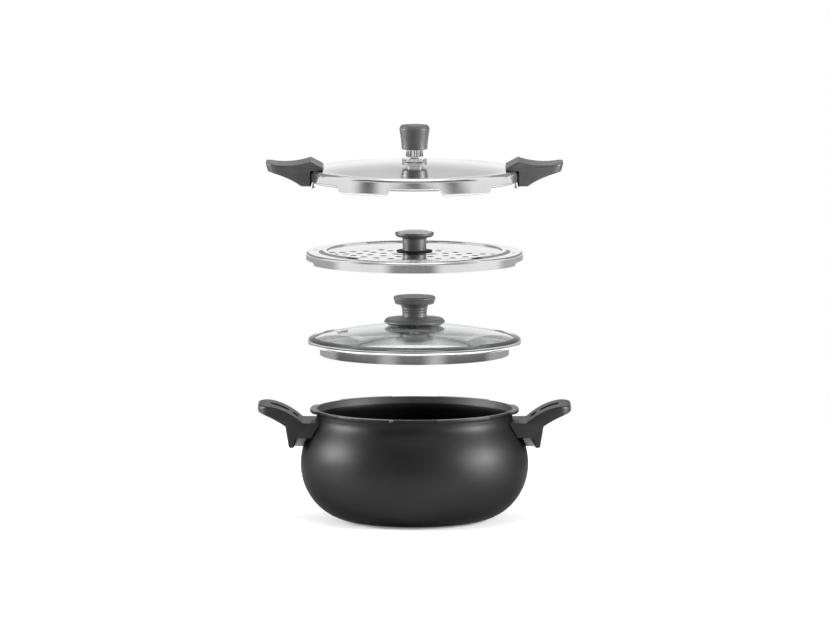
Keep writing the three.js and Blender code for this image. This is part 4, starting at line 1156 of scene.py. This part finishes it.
def lidHandleLoop(share, back, inset):
    # share runs from -1 to 1 across the width, which narrows towards the tip
    h, band, height, corner = lidHandle, lidShell["radius"], lidShell["height"], lidShell["corner"]
    toe, peak, tip = band - h["toe"], band - h["peak"], lidHandleTip - back
    width = lambda x: h["width"] + (h["tipWidth"] - h["width"]) * (x - toe) / (lidHandleTip - toe)
    across = lambda x: share * width(x) / 2
    dome = lambda x: domeHeight(lidPeak, lidSphere, math.hypot(x, across(x)))
    onLid = lambda x: gap + min(dome(x), height + h["overBand"])
    wall = math.sqrt((band + gap) ** 2 - across(band) ** 2)
    toeTop = max(height + gap + h["toeThick"], onLid(toe) + h["toeLeast"])
    ahead = peak + h["peakRun"]
    atToe, atPeak = h["topRounds"]
    loop = rounded([(toe, onLid(toe)), (toe, toeTop, atToe), (peak, h["top"], atPeak),
                    (ahead, lidHandleTop(ahead))])[:-1]
    end = tip - h["tipRun"]
    loop += [(x, lidHandleTop(x)) for x in between(loop[-1][0], end, h["topSteps"])]
    low, footEnd = tip - h["slant"], band + h["footReach"]
    before, after = end - h["tipBack"], low - h["underRun"]
    atTip, underTip = h["tipRounds"]
    loop += rounded([(before, lidHandleTop(before)), (tip, lidHandleTop(tip), atTip),
                     (low, lidHandleUnder(low), underTip), (after, lidHandleUnder(after))])[1:-1]
    places = between(low - h["tipRun"], footEnd + h["footBack"], h["underSteps"])
    loop += [(x, lidHandleUnder(x)) for x in places]
    before, ledge = footEnd + h["footRun"], wall - corner - h["ledge"]
    loop += rounded([(before, lidHandleUnder(before)), (footEnd, h["foot"], h["footRound"]),
                     (wall, h["foot"])])[1:]
    loop += rounded([(wall, h["foot"] + h["wallFrom"]), (wall, height + gap, corner), (ledge, onLid(ledge))])
    loop += [(x, onLid(x)) for x in between(ledge, toe, h["lidSteps"])]
    return [(x, across(x), z + lidSeat) for x, z in drawnIn(loop, inset)]


def strapPiece(name, grow):
    # an angle from the band out into the handle; grown by the gap it is the handle's pocket
    s, inner = strap, lidShell["radius"] + gap
    bend, inside = (s["pocketCorner"], s["pocketCorner"]) if grow else (s["bend"], s["inside"])
    foot, top, under = s["foot"] - grow, s["top"] + grow, s["top"] - s["sheet"] - grow
    outer, end = inner + s["sheet"] + grow, lidShell["radius"] + s["reach"] + grow
    loop = rounded([(inner - grow, foot), (inner - grow, top, bend), (end, top), (end, under),
                    (outer, under, inside), (outer, foot)])
    half = s["width"] / 2 + grow
    return lofted(name, [[(x, y, z + lidSeat) for x, z in loop] for y in (-half, half)])


def makeLidHandles():
    h = lidHandle
    stations = handleStations(2, 2 * h["corner"] / h["tipWidth"], 2 * h["edge"] / h["width"], h["flat"])
    half, tipHalf = h["width"] / 2, h["tipWidth"] / 2  # stations are made for a width of 2
    loops = [lidHandleLoop(share, back * tipHalf, inset * half) for share, back, inset in stations]
    right = lofted("lidHandleRight", loops, h["sharp"])
    screwAt = shift(lidShell["radius"] + h["screwPlace"], 0, lidSeat)
    seat, room = h["screwSeat"], h["holeRoom"]
    headHole = place(drill(h["headHole"], -room, seat, sidesOf["headDrill"]), screwAt)
    shankHole = place(drill(h["screwHole"], seat - gap, h["screwTip"] + gap), screwAt)
    carve(right, strapPiece("strapPocket", gap), headHole, shankHole, sharp=h["sharp"])
    strapRight = strapPiece("lidHandleStrapRight", 0)
    carve(strapRight, place(drill(h["screwHole"], 0, room), screwAt))
    screw = screwPiece("lidHandleScrewRight", handleScrew, h["screwTip"] - seat)
    place(screw, tilt(math.pi, "X"), shift(0, 0, seat - gap), screwAt)
    least, most = h["edgeSide"]

    def onEdgeShade(_, normal):  # painted shade on the rounded edges between a handle's flat sides and its top or its underside
        return least < abs(normal.y) < most and abs(normal.z) > h["edgeRise"]

    for handle in dressPair(right, "knobPlastic knobEdge", "pressure_lid", "knob_plastic", "lid_handle"):
        mark(handle, onEdgeShade)
    dressPair(strapRight, "bracketMetal", "pressure_lid", "bracket_metal", "lid_handle_strap")
    dressPair(screw, "zincSteel", "pressure_lid", "fastener_steel", "lid_handle_screw")


makeLidHandles()
print("pressure lid and handles done")


# Vent pipe and safety valve

vent = {"bore": 1.6, "thread": 5, "depth": 10, "boss": 12.5, "bossHeight": 3, "edge": 0.8, "stub": 4.2,
        "stubHeight": 9, "cone": 1.4, "nutAcross": 16, "sides": 96,
        "threadRound": 0.5, "bossRound": 0.3, "stubRounds": (0.6, 0.5, 0.4, 0.2)}  # from the boss to the bore
ventBase = lidPeak + gap
ventBoss = ventBase + vent["bossHeight"]
ventTip = ventBoss + vent["stubHeight"]


def makeVent():
    v = vent
    foot = lidPeak - v["depth"]
    root, cone, tip, bore = v["stubRounds"]
    section = rounded([(v["bore"], foot), (v["thread"], foot, v["threadRound"]), (v["thread"], ventBase),
                       (v["boss"], ventBase, v["bossRound"]), (v["boss"], ventBoss, v["edge"]),
                       (v["stub"], ventBoss, root), (v["stub"], ventTip - v["cone"], cone),
                       (v["stub"] - v["cone"], ventTip, tip), (v["bore"], ventTip, bore)], closed=True)
    pipe = turned("ventPipe", section, v["sides"], lidSeat)
    dress(pipe, "polishedSteel", "pressure_lid", "polished_steel", "vent_pipe")
    nut = nutPiece("ventNut", v["nutAcross"], v["thread"] + gap, lowest("vent_nut"), highest("vent_nut"))
    dress(nut, "zincSteel", "pressure_lid", "fastener_steel", "vent_nut")


def makeSafetyValve():
    v = valve
    hexTop = gap + v["hex"]
    crownTop = hexTop + v["crownHeight"]

    def section(angle):
        corner, bevel, drop = hexCorner(v["across"], angle)
        crown = rounded([(v["crown"], hexTop), (v["crown"], crownTop, v["crownEdge"]), (v["bore"], crownTop)])
        return [(v["bore"], -v["depth"]), (v["thread"], -v["depth"]), (v["thread"], gap), (corner, gap),
                (corner, hexTop - drop), (bevel, hexTop), *crown]

    body = place(turned("safetyValve", section), *atValve())
    dress(body, "brass", "pressure_lid", "valve_brass", "safety_valve")
    radius, foot, top = v["bore"] - gap, gap - v["depth"], crownTop + v["plugStand"]
    tip = rounded([(radius, 0), (radius, top, v["plugEdge"]), (0, top)])
    plug = turned("safetyPlug", [(0, foot), (radius, foot), *tip], sidesOf["plug"], closed=False)
    dress(place(plug, *atValve()), "zincSteel", "pressure_lid", "fastener_steel", "safety_plug")
    under = -lidShell["sheet"] - gap
    nut = nutPiece("safetyValveNut", v["across"], v["thread"] + gap, under - v["nut"], under)
    dress(place(nut, *atValve()), "brass", "pressure_lid", "valve_brass", "safety_valve_nut")


makeVent()
makeSafetyValve()


# Weight

weight = {
    "gap": 2, "legRadius": 8.8, "legHeight": 7, "legEdge": 0.3, "flutes": 8, "flute": 1.1,
    "fluteForm": (0.5, 1.6), "stud": 6, "studHeight": 13, "play": 0.8, "coreSides": 192,
    "capFoot": 12.9, "footPull": (0.3, 8), "capRadius": 15.2, "topPull": (0.9, 14), "capHeight": 24,
    "bevel": 3.4, "bevelRounds": (1.6, 1.4), "capEdge": 0.9, "crown": 0.6, "capSteps": 24,
}


def makeWeight():
    w, cone = weight, vent["cone"]
    foot, seat, bore = ventBoss + w["gap"], ventTip + gap, vent["stub"] + w["play"]
    legTop, edge = foot + w["legHeight"], w["legEdge"]
    studTop = legTop + w["studHeight"]
    middle, steep = w["fluteForm"]

    def core(angle):
        leg = w["legRadius"] - w["flute"] * softStep(middle - steep * math.cos(w["flutes"] * angle))
        return [(0, seat), (vent["stub"] - cone, seat), (bore, seat - cone), (bore, foot), (leg - edge, foot),
                (leg, foot + edge), (leg, legTop), (w["stud"], legTop), (w["stud"], studTop), (0, studTop)]

    piece = turned("weightCore", core, w["coreSides"], lidSeat, closed=False)
    dress(piece, "chrome", "weight", "weight_chrome", "weight_core")
    base, hole = legTop + gap, w["stud"] + gap
    top, roof = base + w["capHeight"], base + w["studHeight"]
    (footOut, footUp), (topIn, topUp) = w["footPull"], w["topPull"]
    side = bezier((w["capFoot"], base + w["capEdge"]), (w["capFoot"] + footOut, base + footUp),
                  (w["capRadius"] - topIn, base + topUp), (w["capRadius"], top - w["bevel"]), w["capSteps"])
    lip = rounded([(hole, base), (w["capFoot"], base, w["capEdge"]), side[1]])
    low, high = w["bevelRounds"]
    crown = rounded([side[-2], (*side[-1], low), (w["capRadius"] - w["bevel"] / 2, top, high),
                     (0, top + w["crown"])])
    section = [(0, roof), (hole, roof), (hole, base), *lip[1:-1], *side[1:-1], *crown[1:]]
    cap = turned("weightCap", section, lift=lidSeat, closed=False)
    dress(cap, "knobPlastic", "weight", "knob_plastic", "weight_cap")


makeWeight()
print("vent, valve and weight done")


# Studio

studio = {
    "floorSize": 60, "floorColour": 0.9, "floorGlow": 0.12, "floorFade": (0.35, 0.9), "skyLight": 0.5,
    "aim": 0.2,
    "boxes": [  # azimuth from the viewer, height, distance, width, tall, power, lights the matt pieces alone
        (-92, 0.6, 2.0, 1.0, 1.1, 92, True), (74, 0.6, 2.0, 0.95, 1.1, 100, True),
        (0, 2.6, 0.5, 1.6, 1.6, 18, False)],
    "cardEdge": 8,  # degrees over which a card on a flag fades out
    "flagStep": 3,  # degrees between a flag's points
    "flags": [  # distance, low, high, from and to azimuth, grey, cards on it as (azimuth, half width, grey)
        (0.8, 0.002, 0.0965, -179, 179, 0.09,
         [(-31, 10, 0.5), (24, 10, 0.6), (-150, 45, 0.4), (145, 50, 0.4)]),
        (0.8, 0.097, 0.15, -179, 179, 0.42, [(-150, 45, 0.75), (150, 45, 0.75)]),
        (1.2, 0.095, 0.18, -179, 179, 1, [(-2, 25, 0.25), (-140, 52, 0.45), (145, 45, 0.48)]),
        (1.2, 0.185, 0.2345, -179, 179, 0.92, [(-51, 11, 0.2), (-14, 9, 0.42), (8, 12, 0.2), (47, 11, 0.24)]),
        (1.2, 0.235, 0.31, -75, 65, 1, [(-49, 9, 0.06), (-2, 9, 0.06), (38, 9, 0.06)]),
        (1.2, 0.34, 0.7, -70, 70, 0.6, []), (1.2, 0.7, 1.6, -70, 70, 0.1, []),
        (1.2, 0.34, 1.5, -172, -112, 0.35, []), (1.2, 0.34, 1.5, 112, 172, 0.35, []),
        (1.2, 0.5, 0.56, 173, 187, 0.88, []), (1.2, 0.56, 0.64, 173, 187, 0.76, []),
        (1.2, 0.64, 0.9, 173, 187, 0.66, [])],
}


def fromViewer(azimuth, distance, height):
    angle = math.radians(azimuth)
    return Vector((math.sin(angle) * distance, -math.cos(angle) * distance, height))


def lookAt(obj, aim):
    obj.rotation_euler = (aim - obj.location).to_track_quat("-Z", "Y").to_euler()


def mattPieces():
    # the side boxes light these alone, so that polished steel and glass mirror the room and not the lamps
    pieces = bpy.data.collections.new("matt pieces")
    shiny = {finishes[name] for name in ("polishedSteel", "chrome", "lidGlass")}
    for obj in scene.objects:
        if obj.type == "MESH" and not shiny & set(obj.data.materials):
            pieces.objects.link(obj)
    return pieces


def addSoftbox(name, azimuth, height, distance, width, tall, power, lit):
    data = bpy.data.lights.new(name, "AREA")
    data.shape, data.size, data.size_y, data.energy = "RECTANGLE", width, tall, power
    lamp = bpy.data.objects.new(name, data)
    lamp.location = fromViewer(azimuth, distance, height)
    lookAt(lamp, Vector((0, 0, studio["aim"])))
    lamp.light_linking.receiver_collection = lit
    scene.collection.objects.link(lamp)


def seenBy(material, *rays):
    # 1 for the named kinds of ray, 0 for light that falls on the object
    path = addNode(material, "ShaderNodeLightPath")
    seen = path.outputs[rays[0]]
    for ray in rays[1:]:
        seen = calc(material, "MAXIMUM", seen, path.outputs[ray])
    return seen


def bareMaterial(name):
    # a material with no shader yet, and the socket that takes one
    material = bpy.data.materials.new(name)
    material.use_nodes = True
    nodes = material.node_tree.nodes
    nodes.remove(nodes["Principled BSDF"])
    return material, nodes["Material Output"].inputs["Surface"]


def makeFloor():
    half = studio["floorSize"] / 2 / mm
    corners = [(-half, -half, 0), (half, -half, 0), (half, half, 0), (-half, half, 0)]
    floor = addMesh("floor", corners, [(0, 1, 2, 3)])
    material, surface = bareMaterial("pale floor")
    grey = studio["floorColour"]
    matt = addNode(material, "ShaderNodeBsdfDiffuse", Color=(grey, grey, grey, 1))
    glow = addNode(material, "ShaderNodeEmission")
    seen = seenBy(material, "Is Camera Ray", "Is Transmission Ray")
    link(material, calc(material, "MULTIPLY", seen, studio["floorGlow"]), glow.inputs["Strength"])
    both = addNode(material, "ShaderNodeAddShader")
    link(material, matt.outputs[0], both.inputs[0])
    link(material, glow.outputs[0], both.inputs[1])
    away = addNode(material, "ShaderNodeVectorMath")
    away.operation = "LENGTH"
    link(material, ownPlace(material), away.inputs[0])
    far = spreadOf(material, away.outputs["Value"], 0, 1, *studio["floorFade"])
    white = addNode(material, "ShaderNodeEmission")
    sweep = addNode(material, "ShaderNodeMixShader")
    for source, socket in zip((far, both.outputs[0], white.outputs[0]), sweep.inputs):
        link(material, source, socket)
    link(material, sweep.outputs[0], surface)
    floor.data.materials.append(material)


def shadeAt(grey, cards, azimuth):
    edge = studio["cardEdge"]
    for middle, half, tone in cards:
        grey += (tone - grey) * softStep((half + edge - abs(azimuth - middle)) / (2 * edge))
    return grey


def makeFlags():
    # cloths that only mirrors see
    material, surface = bareMaterial("flag cloth")
    shade = addNode(material, "ShaderNodeAttribute")
    shade.attribute_name = "shade"
    glow = addNode(material, "ShaderNodeEmission")
    link(material, shade.outputs["Color"], glow.inputs["Color"])
    link(material, glow.outputs[0], surface)
    for number, (distance, low, high, start, end, grey, cards) in enumerate(studio["flags"]):
        count = max(2, int((end - start) / studio["flagStep"]))
        turns = [start + (end - start) * k / count for k in range(count + 1)]
        verts = [tuple(fromViewer(turn, distance, height) / mm) for height in (low, high) for turn in turns]
        faces = [(k, k + 1, count + k + 2, count + k + 1) for k in range(count)]
        flag = addMesh(f"flag{number}", verts, faces)
        cloth = flag.data.attributes.new("shade", "FLOAT_COLOR", "POINT")
        for point, turn in zip(cloth.data, turns + turns):
            point.color = (*[shadeAt(grey, cards, turn)] * 3, 1)
        flag.data.materials.append(material)
        flag.visible_camera = flag.visible_diffuse = flag.visible_shadow = flag.visible_transmission = False


def makeSky():
    world = bpy.data.worlds.new("studio sky")
    scene.world = world
    world.use_nodes = True
    sky = world.node_tree.nodes["Background"]
    sky.inputs["Color"].default_value = (1, 1, 1, 1)
    seen = seenBy(world, "Is Camera Ray", "Is Glossy Ray", "Is Transmission Ray")
    link(world, spreadOf(world, seen, studio["skyLight"], 1), sky.inputs["Strength"])


def makeLamps():
    matt = mattPieces()
    for number, (*sizes, mattOnly) in enumerate(studio["boxes"]):
        addSoftbox(f"softbox{number}", *sizes, lit=matt if mattOnly else None)


camera = {"distance": 12, "elevation": 6.5, "aimHeight": 0.2103, "aimSide": -0.0005, "pixelsWide": 828,
          "sensor": 36, "clipEnd": 100}


def makeCamera():
    data = bpy.data.cameras.new("camera")
    data.sensor_width = camera["sensor"]
    width = camera["pixelsWide"] * mm  # one pixel is a millimetre
    data.lens = camera["sensor"] * camera["distance"] / width
    data.clip_end = camera["clipEnd"]
    rig = bpy.data.objects.new("camera", data)
    aim = Vector((camera["aimSide"], 0, camera["aimHeight"]))
    rise = math.radians(camera["elevation"])
    rig.location = aim + Vector((0, -math.cos(rise), math.sin(rise))) * camera["distance"]
    lookAt(rig, aim)
    scene.collection.objects.link(rig)
    scene.camera = rig


makeFloor()
makeFlags()
makeSky()
makeLamps()
makeCamera()
scene.view_settings.view_transform = "Standard"
print("studio done")

bpy.context.view_layer.update()
